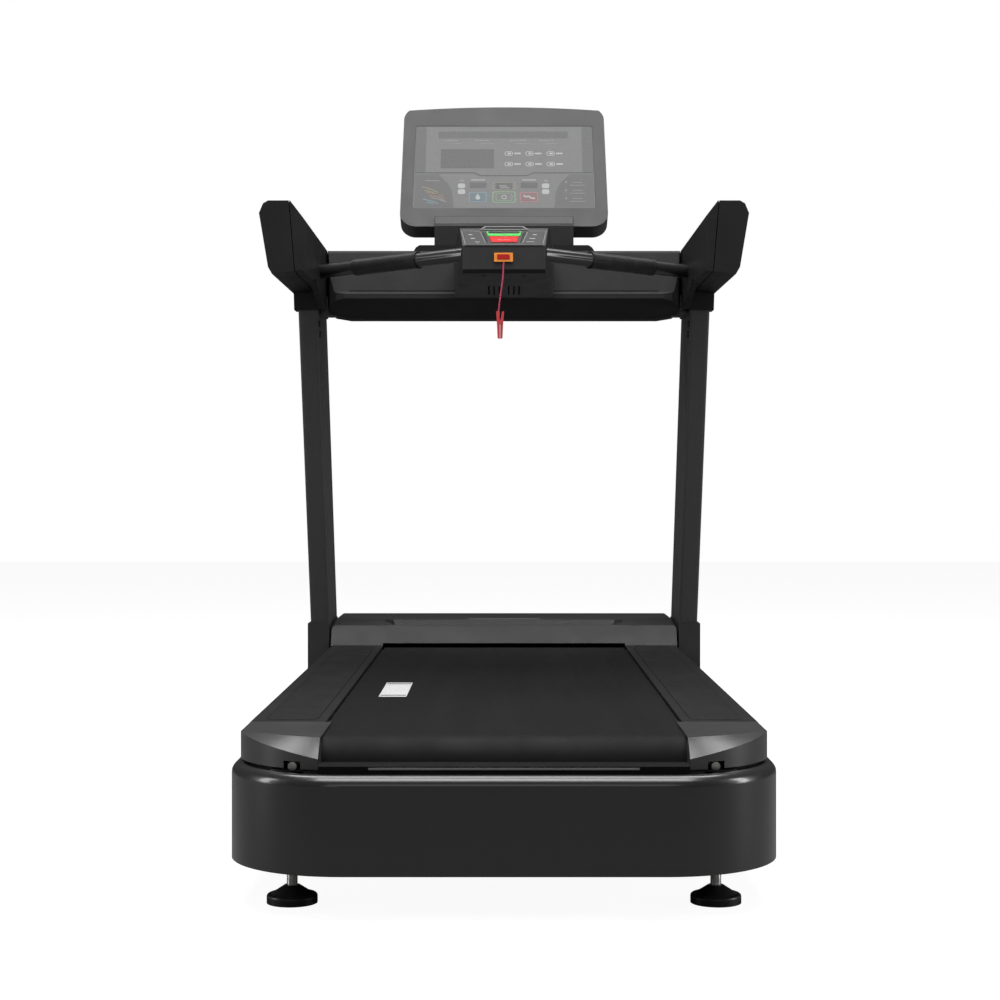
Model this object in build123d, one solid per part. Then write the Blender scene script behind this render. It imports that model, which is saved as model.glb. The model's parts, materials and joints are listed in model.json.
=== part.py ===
from build123d import *
import math
import os

# Motorised treadmill with a levelling base, an inclining deck and a console on two leaning
# uprights.  Millimetres.  The origin is on the floor under the middle of the base:
# +X is to the user's right, +Y is forward, +Z is up.  The user steps on from the -Y end.

# ---- driving dimensions ----
BELT_WIDTH = 560.0
BELT_THICK = 2.5
ROLLER_R = 39.7                 # the belt runs 0.3 mm clear of the rollers
ROLLER_Z = 216.0
REAR_ROLLER_Y = -887.0
FRONT_ROLLER_Y = 700.0
BELT_INNER_R = ROLLER_R + 0.3

LENGTH = 2050.0
REAR_Y = -LENGTH / 2
FRONT_Y = LENGTH / 2
SKIRT_HALF = 420.0
SKIRT_CORNER = 182.0
SKIRT_BOTTOM = 70.0
SKIRT_TOP = 216.0
SKIRT_WALL = 4.0

DECK_HALF = 406.0
DECK_TOP = 263.0
DECK_BOTTOM = 219.0
RAIL_INNER = 284.0
CAP_INNER = 275.0
CAP_START_Y = -760.0
HOOD_REAR_Y = 666.0
HOOD_TOP = 320.0

BASE_Z = (80.0, 140.0)          # height of the base frame's tubes
LOW_TUBE_Z = (80.0, 110.0)      # cross tubes under the lift screw
FRAME_Z = (172.0, 215.0)        # height of the deck frame's side tubes
FRAME_X = (298.0, 348.0)
FOOT_X = 325.0
FOOT_Y = 870.0

PIVOT_Y = -985.0                # incline hinge
PIVOT_Z = 170.0
PIN_R = 10.0
RUN_FIT = 0.05                  # radial clearance of every running fit

LIFT_Y = 100.0                  # lift frame's pivot
LIFT_Z = 80.0
LIFT_ARM = 540.0
LIFT_TIP_Z = 120.0
LIFT_ROLLER_R = 22.0
LEVER_LENGTH = 55.0
LEVER_LEAN = math.radians(10.4)
SCREW_Z = 134.6

UPRIGHT_LEAN = math.radians(20.9)
UPRIGHT_X = (411.5, 455.0)
UPRIGHT_DEPTH = 216.0           # measured level, along Y
UPRIGHT_WALL = 3.0
UPRIGHT_TOP = 1068.0
FOOT_BOLT_YS = (790.0, 890.0)   # bolts through each upright's foot plate
COVER_TOP = 315.0
COVER_X = (411.0, 461.0)
COVER_REAR_Y = 674.0

DASH_HALF = 392.0
DASH_SPLIT_Y = 520.0            # where the two dashboard shells meet
DASH_WALL = 4.0
DASH_TOP = 1161.0
BAR_R = 14.8                    # handlebars
GRIP_R = 17.2
GRIP_SPAN = (0.31, 0.745)       # of the handlebar's length, from the pod outwards
POD_FRONT_Y = 60.0
POD_FRONT_TOP = 1125.0
POD_RIDGE_Y = 150.0
POD_RIDGE_Z = 1172.0

DISPLAY_WIDTH = 466.5
DISPLAY_FLARE = 4.5             # the display is this much wider on each side at its foot
DISPLAY_FOOT = (486.0, 1222.0)  # Y, Z of the lower edge of the display's face
DISPLAY_LEAN = math.radians(26.0)
DISPLAY_HEIGHT = 330.0
DISPLAY_DEPTH = 46.0
DISPLAY_CORNER = 36.0
BEZEL_DEPTH = 6.0
SCREEN_HALF = 205.6
SCREEN_SPAN = (49.5, 277.0)     # from the lower edge of the display's face
NECK_HALF = 156.0
CROWN_R = 2600.0                # radius of the display's gently arched top edge


# ---- helpers ----
def block(x, y, z):
    """Box between three (low, high) ranges."""
    size = [hi - lo for lo, hi in (x, y, z)]
    middle = [(hi + lo) / 2 for lo, hi in (x, y, z)]
    return Pos(*middle) * Box(*size)


def box_tube(x, y, z, along, wall=3.0):
    """Rectangular steel tube, open at both ends of the named direction."""
    ranges = {"x": x, "y": y, "z": z}
    inner = {
        name: span if name == along else (span[0] + wall, span[1] - wall)
        for name, span in ranges.items()
    }
    return block(x, y, z) - block(inner["x"], inner["y"], inner["z"])


def rod(start, end, radius):
    """Round bar between two points."""
    start = Vector(*start)
    along = Vector(*end) - start
    return extrude(Plane(origin=start, z_dir=along) * Circle(radius), along.length)


def bar_x(x, y, z, radius):
    """Round bar parallel to X."""
    return rod((x[0], y, z), (x[1], y, z), radius)


def side_prism(outline, x):
    """Outline given as (Y, Z) points, extruded across a range of X."""
    face = make_face(Polyline(*[(x[0], y, z) for y, z in outline], close=True))
    return extrude(face, x[1] - x[0], dir=(1, 0, 0))


def plan_prism(outline, z):
    """Outline given as (X, Y) points, extruded up a range of Z."""
    face = make_face(Polyline(*[(px, py, z[0]) for px, py in outline], close=True))
    return extrude(face, z[1] - z[0], dir=(0, 0, 1))


def front_prism(outline, y):
    """Outline given as (X, Z) points, extruded along a range of Y."""
    face = make_face(Polyline(*[(px, y[0], pz) for px, pz in outline], close=True))
    return extrude(face, y[1] - y[0], dir=(0, 1, 0))


def mirrored(shape):
    """The same piece on the other side of the machine."""
    return mirror(shape, about=Plane.YZ)


def both_sides(*shapes):
    """Each piece and its mirror image."""
    return [side for shape in shapes for side in (shape, mirrored(shape))]


def group(shapes):
    """Separate solids kept in one sub-part."""
    solids = [solid for shape in shapes for solid in shape.solids()]
    return solids[0] if len(solids) == 1 else Compound(children=solids)


def upright_front(z):
    """Y of an upright's face towards the user, at height z."""
    return 682.0 - math.tan(UPRIGHT_LEAN) * (z - 315.0)


# ---- base ----
def base_frame():
    """Long tubes, cross tubes, outriggers, foot bosses, and the two hinges' ears."""
    rails = box_tube((FOOT_X - 30, FOOT_X + 30), (-965, 940), BASE_Z, "y")
    stud_hole = rod((FOOT_X, FOOT_Y, 50), (FOOT_X, FOOT_Y, 100), 8 + RUN_FIT)
    boss = rod((FOOT_X, FOOT_Y, 60), (FOOT_X, FOOT_Y, 80), 18)
    back = Pos(0, -2 * FOOT_Y, 0)
    rails = rails - stud_hole - back * stud_hole
    bosses = [boss - stud_hole, back * (boss - stud_hole)]

    crosses = [box_tube((-295, 295), (860, 920), BASE_Z, "x")]
    crosses.append(box_tube((-240, 240), (-1003 + 35, -908), BASE_Z, "x"))
    crosses.append(block((-295, -240), (-965, -908), BASE_Z))
    crosses.append(block((240, 295), (-965, -908), BASE_Z))
    for low in (-110, 10):
        crosses.append(box_tube((-295, 295), (low, low + 60), LOW_TUBE_Z, "x"))

    outrigger = box_tube((FOOT_X + 30, 455), (745, 960), BASE_Z, "x", 4.0)
    for bolt in foot_bolts():
        outrigger = outrigger - bolt
    pin_hole = bar_x((190, 250), PIVOT_Y, PIVOT_Z, PIN_R)
    ears = [
        block(span, (-1003, -968), (90, 184)) - pin_hole
        for span in ((200, 211), (229, 240))
    ]
    lift_hole = bar_x((250, 280), LIFT_Y, LIFT_Z, 12 + RUN_FIT)
    lift_ear = block((262, 272), (70, 128), (56, 110)) - lift_hole
    return group(both_sides(rails, *bosses, outrigger, *ears, lift_ear) + crosses)


def skirt_outline(inset):
    """Plan of the skirt's face, moved inwards by inset."""
    half = SKIRT_HALF - inset
    corner = SKIRT_CORNER - inset
    return Pos(0, 0) * RectangleRounded(2 * half, LENGTH - 2 * inset, corner)


def skirt_ring():
    """The whole skirt: an upright wall with a rounded shoulder and a narrow flange."""
    outer = extrude(Pos(0, 0, SKIRT_BOTTOM) * skirt_outline(0), SKIRT_TOP - SKIRT_BOTTOM)
    outer = fillet(outer.faces().sort_by(Axis.Z)[-1].edges(), 16)
    inner_height = SKIRT_TOP - SKIRT_WALL - SKIRT_BOTTOM
    inner = extrude(Pos(0, 0, SKIRT_BOTTOM) * skirt_outline(SKIRT_WALL), inner_height)
    inner = fillet(inner.faces().sort_by(Axis.Z)[-1].edges(), 12)
    mouth = extrude(Pos(0, 0, SKIRT_TOP - 30) * skirt_outline(18), 60)
    return outer - inner - mouth


def skirt_part(y):
    """The stretch of the skirt between two Y values."""
    return skirt_ring() & block((-500, 500), y, (0, 300))


def foot_bolts():
    """Shanks of the two bolts at the foot of the right-hand upright."""
    middle = sum(UPRIGHT_X) / 2
    return [rod((middle, y, BASE_Z[1] - 8), (middle, y, BASE_Z[1] + 12), 8) for y in FOOT_BOLT_YS]


def foot_cover():
    """Boot that covers the bottom of the right-hand upright."""
    outline = [(COVER_REAR_Y, 70), (976, 70), (976, 130), (908, COVER_TOP),
               (COVER_REAR_Y, COVER_TOP)]
    shell = side_prism(outline, COVER_X)
    gap = 1.0
    low = BASE_Z[1] - 1
    inner = [
        (upright_front(low) - gap, low),
        (upright_front(low) + UPRIGHT_DEPTH + gap, low),
        (upright_front(400) + UPRIGHT_DEPTH + gap, 400),
        (upright_front(400) - gap, 400),
    ]
    shell = shell - side_prism(inner, (UPRIGHT_X[0] - gap, UPRIGHT_X[1] + gap))
    hollow = block((COVER_X[0] - 10, UPRIGHT_X[1] + gap), (735, 964), (60, 145))
    return shell - hollow


def upright():
    """Right-hand upright: a leaning rectangular tube with a foot plate at its bottom."""
    def outline(inset, bottom):
        return [
            (upright_front(bottom) + inset, bottom),
            (upright_front(bottom) + UPRIGHT_DEPTH - inset, bottom),
            (upright_front(UPRIGHT_TOP) + UPRIGHT_DEPTH - inset, UPRIGHT_TOP),
            (upright_front(UPRIGHT_TOP) + inset, UPRIGHT_TOP),
        ]
    wall = UPRIGHT_WALL
    plate_top = BASE_Z[1] + 6
    tube = side_prism(outline(0, BASE_Z[1]), UPRIGHT_X)
    long_edges = tube.edges().filter_by(lambda edge: edge.length > 900)
    tube = fillet(long_edges, 6)
    inside = (UPRIGHT_X[0] + wall, UPRIGHT_X[1] - wall)
    tube = tube - side_prism(outline(wall, plate_top), inside)
    for bolt in foot_bolts():
        tube = tube - bolt
    return tube


def levelling_foot():
    """Foot with a flat pad, a cone, a stud that runs up into the frame, and a lock nut."""
    pad = Cylinder(39, 14, align=(Align.CENTER, Align.CENTER, Align.MIN))
    pad = fillet(pad.edges().sort_by(Axis.Z)[-1], 4)
    cone = Pos(0, 0, 14) * Cone(32, 12, 13, align=(Align.CENTER, Align.CENTER, Align.MIN))
    stud = Cylinder(8, 122, align=(Align.CENTER, Align.CENTER, Align.MIN))
    nut = Pos(0, 0, 44) * extrude(RegularPolygon(13, 6), 12)
    return pad + cone + stud + nut


def feet():
    """The four feet, by place."""
    places = {
        "foot_rear_left": (-FOOT_X, -FOOT_Y),
        "foot_rear_right": (FOOT_X, -FOOT_Y),
        "foot_front_left": (-FOOT_X, FOOT_Y),
        "foot_front_right": (FOOT_X, FOOT_Y),
    }
    return {name: Pos(x, y, 0) * levelling_foot() for name, (x, y) in places.items()}


def hinge_pins():
    """The two pins that the deck inclines on."""
    pin = bar_x((196, 244), PIVOT_Y, PIVOT_Z, PIN_R)
    return group(both_sides(pin))


def power_inlet():
    """Mains inlet in the front of the skirt: a flange round a socket with three blades."""
    flange = block((150, 200), (FRONT_Y - SKIRT_WALL, FRONT_Y), (110, 145))
    body = block((155, 195), (FRONT_Y - 40, FRONT_Y - SKIRT_WALL), (114, 141))
    socket = block((159, 191), (FRONT_Y - 32, FRONT_Y + 5), (118, 137))
    blades = [block((x, x + 4), (FRONT_Y - 34, FRONT_Y - 14), (z, z + 6))
              for x, z in ((163, 122), (173, 128), (183, 122))]
    shell = flange + body - socket
    for blade in blades:
        shell = shell + blade
    return shell


def lift_motor():
    """Gearbox and motor that drive the lift screw, bolted on the low cross tubes."""
    screw_hole = rod((0, -200, SCREW_Z), (0, 60, SCREW_Z), 8.5)
    gearbox = block((-30, 112), (-104, -40), (LOW_TUBE_Z[1], 164))
    nut_tube = rod((0, -140, SCREW_Z), (0, 20, SCREW_Z), 20)
    motor = rod((76, -230, 137), (76, -104, 137), 27)
    return gearbox + nut_tube + motor - screw_hole


def lever_end():
    """Y and Z of the lift lever's pin at rest."""
    y = LIFT_Y + LEVER_LENGTH * math.sin(LEVER_LEAN)
    z = LIFT_Z + LEVER_LENGTH * math.cos(LEVER_LEAN)
    return y, z


def lift_frame():
    """Yoke that raises the deck: a cross tube, two arms with rollers, and a lever."""
    tip_y = LIFT_Y + math.sqrt(LIFT_ARM ** 2 - (LIFT_TIP_Z - LIFT_Z) ** 2)
    tube = bar_x((-258, 258), LIFT_Y, LIFT_Z, 20)
    journals = bar_x((-274, 274), LIFT_Y, LIFT_Z, 12)
    arm_outline = [
        (LIFT_Y - 10, LIFT_Z - 16),
        (tip_y, LIFT_TIP_Z - 14),
        (tip_y + 14, LIFT_TIP_Z),
        (tip_y, LIFT_TIP_Z + 14),
        (LIFT_Y - 10, LIFT_Z + 16),
    ]
    arms = both_sides(side_prism(arm_outline, (210, 224)))
    rollers = both_sides(bar_x((226, 256), tip_y, LIFT_TIP_Z, LIFT_ROLLER_R))
    pins = both_sides(bar_x((205, 260), tip_y, LIFT_TIP_Z, 8))
    pin_y, pin_z = lever_end()
    lever_outline = [
        (LIFT_Y - 18, LIFT_Z),
        (LIFT_Y + 18, LIFT_Z),
        (pin_y + 9, pin_z + 4),
        (pin_y, pin_z + 9),
        (pin_y - 9, pin_z + 4),
    ]
    levers = both_sides(side_prism(lever_outline, (9, 16)))
    lever_pin = bar_x((-18, 18), pin_y, pin_z, 5)
    whole = tube + journals + lever_pin
    for piece in arms + rollers + pins + levers:
        whole = whole + piece
    return whole


def lift_screw():
    """Screw rod with a slotted eye round the lever's pin."""
    pin_y, pin_z = lever_end()
    shaft = rod((0, -170, SCREW_Z), (0, pin_y - 12, SCREW_Z), 8)
    eye = block((-8, 8), (pin_y - 15, pin_y + 15), (SCREW_Z - 14, SCREW_Z + 14))
    slot = block((-9, 9), (pin_y - 5.6, pin_y + 5.6), (SCREW_Z - 8, SCREW_Z + 8))
    return shaft + eye - slot


# ---- deck ----
def deck_frame():
    """Side tubes, cross tubes between the belt's runs, the lift bar below it, hinge lugs."""
    axles = [bar_x((250, 340), y, ROLLER_Z, 10) for y in (REAR_ROLLER_Y, FRONT_ROLLER_Y)]
    side = box_tube(FRAME_X, (-950, 955), FRAME_Z, "y")
    for axle in axles:
        side = side - axle
    inner = FRAME_X[0]
    crosses = [
        box_tube((-inner, inner), (y, y + 40), (188, FRAME_Z[1]), "x")
        for y in (-720, -360, 0, 360)
    ]
    crosses.append(box_tube((-inner, inner), (-962, -937), (183, FRAME_Z[1]), "x"))
    crosses.append(box_tube((-inner, inner), (925, 955), FRAME_Z, "x"))
    crosses.append(box_tube((-inner, inner), (575, 665), (143, 167), "x"))
    drop = block((inner - 11, inner), (585, 645), (167, FRAME_Z[1]))
    motor_shelf = block((-inner, inner), (782, 925), (143, 149))
    shelf_hanger = block((inner - 8, inner), (848, 925), (149, 185))
    pin_hole = bar_x((190, 250), PIVOT_Y, PIVOT_Z, PIN_R + RUN_FIT)
    lug = block((212, 228), (-1002, -962), (151, 189)) - pin_hole
    neck = block((212, 228), (-962, -945), (165, 183))
    return group(both_sides(side, drop, shelf_hanger, lug + neck) + crosses + [motor_shelf])


def running_board():
    """Waxed board that the belt slides over."""
    top = ROLLER_Z + BELT_INNER_R - 0.3
    return block((-308, 308), (REAR_ROLLER_Y + 52, FRONT_ROLLER_Y - 52), (top - 19, top))


def deck_cushions():
    """Rubber blocks between the deck frame and the board."""
    bottom = ROLLER_Z + BELT_INNER_R - 19.3
    spots = [-720, -400, -80, 240, 560]
    pads = [block((FRAME_X[0] + 1, 308), (y, y + 60), (FRAME_Z[1], bottom)) for y in spots]
    return group(both_sides(*pads))


def loop(y0, y1, z0, z1, r0, r1, thick, x):
    """Closed belt round two circles, as a flat-sided loop."""
    outer = belt_outline(y0, y1, z0, z1, r0 + thick, r1 + thick, x[0])
    inner = belt_outline(y0, y1, z0, z1, r0, r1, x[0])
    width = x[1] - x[0]
    return extrude(outer, width, dir=(1, 0, 0)) - extrude(inner, width, dir=(1, 0, 0))


def belt_outline(y0, y1, z0, z1, r0, r1, x):
    """Face bounded by two circles and their outer tangents, in the plane at x."""
    slope = math.atan2(z1 - z0, y1 - y0)
    spread = math.acos((r0 - r1) / math.hypot(y1 - y0, z1 - z0))

    def on_circle(y, z, radius, angle):
        return (x, y + radius * math.cos(angle), z + radius * math.sin(angle))

    high0 = on_circle(y0, z0, r0, slope + spread)
    high1 = on_circle(y1, z1, r1, slope + spread)
    low0 = on_circle(y0, z0, r0, slope - spread)
    low1 = on_circle(y1, z1, r1, slope - spread)
    back = on_circle(y0, z0, r0, slope + math.pi)
    front = on_circle(y1, z1, r1, slope)
    edges = [
        Line(high0, high1),
        ThreePointArc(high1, front, low1),
        Line(low1, low0),
        ThreePointArc(low0, back, high0),
    ]
    return make_face(edges)


def running_belt():
    """Belt round both rollers."""
    half = BELT_WIDTH / 2
    return loop(REAR_ROLLER_Y, FRONT_ROLLER_Y, ROLLER_Z, ROLLER_Z,
                BELT_INNER_R, BELT_INNER_R, BELT_THICK, (-half, half))


def side_rail():
    """Foot rail on the right: a top plate, a low lip by the belt and an outer wall."""
    y = (CAP_START_Y, HOOD_REAR_Y)
    top = block((RAIL_INNER, DECK_HALF), y, (DECK_TOP - 4.5, DECK_TOP))
    wall = block((DECK_HALF - 4, DECK_HALF), y, (DECK_BOTTOM, DECK_TOP))
    rail = top + wall
    edge = rail.edges().filter_by(Axis.Y).sort_by(lambda e: e.center().X + e.center().Z)[-1]
    rail = fillet(edge, 3.5)
    rib = block((352, 358), y, (DECK_BOTTOM, DECK_TOP - 4.5))
    return rail + rib


def cap_outline(reach, bow, side, z, climb=0.0):
    """Plan of the right-hand end cap at one height, which may climb outwards, as a face."""
    def at(x, y):
        return (x, y, z + climb * (x - CAP_INNER))

    inner_front = at(CAP_INNER, CAP_START_Y)
    inner_back = at(CAP_INNER, CAP_START_Y - reach)
    outer_back = at(side, CAP_START_Y - 95)
    outer_front = at(side, CAP_START_Y)
    return make_face([
        Line(inner_front, inner_back),
        ThreePointArc(inner_back, at(*bow), outer_back),
        Line(outer_back, outer_front),
        Line(outer_front, inner_front),
    ])


def end_cap():
    """Cap on the rear of the right-hand rail, with a bevel that narrows outwards."""
    shoulder = 235.0
    climb = 0.195
    low = cap_outline(220, (352, -942), DECK_HALF, DECK_BOTTOM)
    mid = cap_outline(220, (352, -942), DECK_HALF, shoulder, climb)
    high = cap_outline(188, (345, -912), DECK_HALF - 3, DECK_TOP)
    cap = loft([low, mid], ruled=True) + loft([mid, high], ruled=True)
    cap = cap - block((CAP_INNER + 5, 335), (-945, CAP_START_Y + 1), (210, 230))
    cap = cap - block((CAP_INNER - 5, 320), (-905, CAP_START_Y + 1), (210, 256))
    cap = cap - block((CAP_INNER - 5, DECK_HALF - 6), (-800, CAP_START_Y + 1), (210, 256))
    cap = cap - block((CAP_INNER - 5, RAIL_INNER), (-933, CAP_START_Y + 1), (200, 260))
    slot = block((302, 328), (-1000, -940), (215, 230))
    return cap - slot


def rear_bumper():
    """Low bar across the back of the deck, between the end caps."""
    outline = [(-987, 204), (-962, 204), (-962, 226), (-966, 229), (-983, 229), (-987, 225)]
    return side_prism(outline, (-CAP_INNER + 1, CAP_INNER - 1))


def motor_hood():
    """Shell over the motor, with a raised middle panel and an opening for the belt."""
    outline = [(HOOD_REAR_Y, 219), (HOOD_REAR_Y, 264), (690, 309), (716, 315), (770, HOOD_TOP),
               (955, HOOD_TOP), (1006, 286), (1006, 219)]
    inside = [(HOOD_REAR_Y + 5, 210), (HOOD_REAR_Y + 5, 262), (694, 304), (718, 310.5),
              (771, HOOD_TOP - 4.5), (953, HOOD_TOP - 4.5), (1001.5, 283), (1001.5, 210)]
    shell = side_prism(outline, (-DECK_HALF, DECK_HALF))
    top_corners = shell.edges().filter_by(lambda e: abs(abs(e.center().X) - DECK_HALF) < 0.1
                                          and e.center().Z > 290)
    shell = fillet(top_corners, 9)
    middle_outline = [(674, 266), (702, 321.5), (780, 321.5), (780, 266)]
    middle = side_prism(middle_outline, (-280, 280))
    plan = [(-280, 720), (-221, 660), (221, 660), (280, 720), (280, 800), (-280, 800)]
    middle = middle & plan_prism(plan, (200, 400))
    shell = shell + middle
    shell = shell - side_prism(inside, (-DECK_HALF + 4, DECK_HALF - 4))
    pulley_room = PULLEY_X[1] + 4
    shell = shell - block((-pulley_room, pulley_room), (650, 682), (200, 262))
    return shell - block((-RAIL_INNER, RAIL_INNER), (650, 682), (200, 269))


MOTOR_Y = 852.0
MOTOR_Z = 213.0
PULLEY_X = (284.0, 296.0)
MOTOR_PULLEY_R = 20.0
ROLLER_PULLEY_R = 45.0
DRIVE_GAP = 0.4                 # between the drive belt and its pulleys


def drive_motor():
    """Motor case with a foot on the deck frame's shelf and a bore for the shaft."""
    case = bar_x((-70, 150), MOTOR_Y, MOTOR_Z, 60)
    foot = block((-60, 140), (MOTOR_Y - 50, MOTOR_Y + 50), (149, 170))
    bore = bar_x((-60, 160), MOTOR_Y, MOTOR_Z, 9 + RUN_FIT)
    return case + foot - bore


def motor_flywheel():
    """Motor shaft with its flywheel and its ribbed pulley."""
    shaft = bar_x((-55, 284), MOTOR_Y, MOTOR_Z, 9)
    flywheel = bar_x((170, 200), MOTOR_Y, MOTOR_Z, 56)
    pulley = bar_x(PULLEY_X, MOTOR_Y, MOTOR_Z, MOTOR_PULLEY_R)
    return shaft + flywheel + pulley


def drive_belt():
    """Ribbed belt from the motor's pulley to the front roller's pulley."""
    return loop(FRONT_ROLLER_Y, MOTOR_Y, ROLLER_Z, MOTOR_Z, ROLLER_PULLEY_R + DRIVE_GAP,
                MOTOR_PULLEY_R + DRIVE_GAP, 3.0, (PULLEY_X[0] + 1, PULLEY_X[1] - 1))


def motor_controller():
    """Motor drive unit: a tray, a case and cooling fins."""
    case = block((-270, -100), (790, 915), (149, 215))
    for step in range(12):
        x = -264 + 14 * step
        case = case + block((x, x + 4), (792, 913), (215, 240))
    return case


def roller(y, with_pulley):
    """Crownless steel roller with end discs and bearings' bores."""
    outer = bar_x((-278, 278), y, ROLLER_Z, ROLLER_R)
    outer = outer - bar_x((-262, 262), y, ROLLER_Z, ROLLER_R - 4)
    if with_pulley:
        outer = outer + bar_x((278, PULLEY_X[1]), y, ROLLER_Z, 22)
        outer = outer + bar_x(PULLEY_X, y, ROLLER_Z, ROLLER_PULLEY_R)
    return outer - bar_x((-300, 300), y, ROLLER_Z, 10 + RUN_FIT)


def roller_axles():
    """Fixed axles that the two rollers turn on."""
    bolt = rod((315, REAR_ROLLER_Y - 20, 222), (315, REAR_ROLLER_Y + 20, 222), 4)
    rear = bar_x((-328, 328), REAR_ROLLER_Y, ROLLER_Z, 10)
    rear = rear - bolt - mirrored(bolt)
    return group([rear, bar_x((-335, 335), FRONT_ROLLER_Y, ROLLER_Z, 10)])


def tension_bolts():
    """Belt tracking bolts that pull on the rear axle from the end caps."""
    shank = rod((315, -950, 222), (315, REAR_ROLLER_Y + 18, 222), 4)
    head = rod((315, -962, 222), (315, -950, 222), 6.5)
    head = head & block((300, 330), (-970, -940), (216, 229))
    return group(both_sides(shank + head))


# ---- console ----
def crossbar():
    """Tube that ties the two uprights together inside the dashboard."""
    return box_tube((-UPRIGHT_X[0], UPRIGHT_X[0]), (450, 505), (1018, 1062), "x")


def crossbar_space():
    """Room for the crossbar where it passes through the shells."""
    return block((-500, 500), (449.5, 505.5), (1017.5, 1062.5))


def dash_profile(inset):
    """Outline of the whole dashboard in Y and Z."""
    return [
        (440 + inset, DASH_TOP - inset),
        (428 + inset, DASH_TOP - 6 - inset),
        (398 + inset, 1066 - inset / 2),
        (384 + inset, 1060 - inset / 2),
        (384 + inset, 1050),
        (455 + inset / 2, 1010 + inset),
        (530, 1012 + inset),
        (575 - inset, 1035),
        (580 - inset, 1110),
        (548 - inset, DASH_TOP - inset),
    ]


def dash_solid(inset):
    """Whole dashboard with rounded ends, or with an inset the space inside its walls."""
    half = DASH_HALF - inset
    low = 1008 + inset
    end = [(half, 1200), (half, 1034), (half - 10, 1019 + inset), (half - 46, 1012 + inset),
           (half - 130, low)]
    corner = [(half, 610), (half, 440), (half - 7, 411 + inset), (half - 22, 393 + inset),
              (half - 50, 380 + inset)]
    left_end = [(-x, z) for x, z in reversed(end)]
    left_corner = [(-x, y) for x, y in reversed(corner)]
    solid = side_prism(dash_profile(inset), (-half, half))
    return (solid & front_prism(end + left_end, (350, 610))
            & plan_prism(corner + left_corner, (950, 1250)))


def dash_half(y):
    """Shell of the dashboard between two Y values, with a groove on each side of its lip."""
    shell = dash_solid(0) - dash_solid(DASH_WALL) - crossbar_space()
    for groove_y, groove_z in ((398, 1067), (386, 1048)):
        shell = shell - bar_x((-340, 340), groove_y, groove_z, 1.8)
    return shell & block((-500, 500), y, (900, 1300))


def wing():
    """Right-hand arm: a fist-shaped moulding from the upright's top towards the user."""
    near = [(490, 1184), (482, 1203), (472, 1209), (428, 1209), (404, 1178), (404, 1070),
            (464, 1062), (472, 1076)]
    far = [(476, 1140), (473, 1155), (467, 1163), (420, 1168), (394, 1162), (394, 1066),
           (464, 1062), (467, 1072)]
    near_y, far_y = 10.0, 614.0
    blend_y = 430.0

    def section(outline, y):
        return make_face(Polyline(*[(x, y, z) for x, z in outline], close=True))

    front = loft([section(near, near_y), section(far, blend_y)], ruled=True)
    rear = extrude(section(far, blend_y), far_y - blend_y, dir=(0, 1, 0))
    slope = side_prism([(blend_y, 1300), (blend_y, 1168), (far_y, 1110), (far_y + 20, 1300)],
                       (380, 500))
    return front + (rear - slope)


def wing_seam(gap, side):
    """Space on one side of the leaning seam between a wing's two shells."""
    reach = 120 * side
    top = 432 + gap * side
    bottom = 413 + gap * side
    outline = [(top, 1230), (bottom, 1000), (bottom + reach, 1000), (top + reach, 1230)]
    return front_prism(outline, (0, 700))


def collar():
    """Collar of the wing's outer shell, round the top of the right-hand upright."""
    low = upright_front(1026) - 8
    return side_prism([(low, 1026), (low + UPRIGHT_DEPTH + 16, 1026),
                       (low + UPRIGHT_DEPTH, 1070), (low - 12, 1070)], (409, 463))


def wing_outer():
    """Outer shell of the right-hand wing, with the collar round the upright's top."""
    shell = wing() & wing_seam(0.8, 1)
    return shell + collar() - upright_space() - crossbar_space()


def upright_space():
    """Room for the upright's top inside the wing and its collar."""
    gap = 0.5
    low, high = 900.0, UPRIGHT_TOP + gap
    outline = [
        (upright_front(low) - gap, low),
        (upright_front(low) + UPRIGHT_DEPTH + gap, low),
        (upright_front(high) + UPRIGHT_DEPTH + gap, high),
        (upright_front(high) - gap, high),
    ]
    return side_prism(outline, (UPRIGHT_X[0] - gap, UPRIGHT_X[1] + gap))


def wing_inner():
    """Inner shell of the right-hand wing, with the web down to the collar."""
    shell = wing() & wing_seam(0.8, -1)
    web = side_prism([(200, 1072), (380, 1030), (424, 1030), (424, 1072)], (394, 408.5))
    dash = side_prism(dash_profile(0), (-DASH_HALF, DASH_HALF))
    shell = shell + web - collar() - upright_space() - crossbar_space()
    return shell - dash - rod(*bar_path(), BAR_R)


def bar_path():
    """Ends of the right-hand handlebar: in the pod and in the wing."""
    return (80, 113, 1113), (398, 333, 1103)


def along_bar(fraction):
    """Point on the right-hand handlebar's axis."""
    start, end = bar_path()
    return tuple(a + (b - a) * fraction for a, b in zip(start, end))


def handlebar():
    """Right-hand steel handlebar."""
    return rod(*bar_path(), BAR_R)


def grip():
    """Moulded sleeve on the right-hand handlebar, with a bead at each end."""
    low, high = GRIP_SPAN
    bead = 0.015
    sleeve = rod(along_bar(low), along_bar(high), GRIP_R)
    near_bead = rod(along_bar(low), along_bar(low + bead), GRIP_R + 0.8)
    far_bead = rod(along_bar(high - bead), along_bar(high), GRIP_R + 0.8)
    return sleeve + near_bead + far_bead - rod(along_bar(low - 0.1), along_bar(high + 0.1), BAR_R)


def pod_slope():
    """Plane on the pod's sloping top: X to the right, Y up the slope."""
    run, rise = POD_RIDGE_Y - POD_FRONT_Y, POD_RIDGE_Z - POD_FRONT_TOP
    return Plane(origin=(0, POD_FRONT_Y, POD_FRONT_TOP), x_dir=(1, 0, 0), z_dir=(0, -rise, run))


BUTTONS = {"stop_button": (30, 15, 46, 26), "start_button": (33, 50, 76, 36)}
BUTTON_TRAVEL = 2.0
BUTTON_GAP = 0.4


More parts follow.
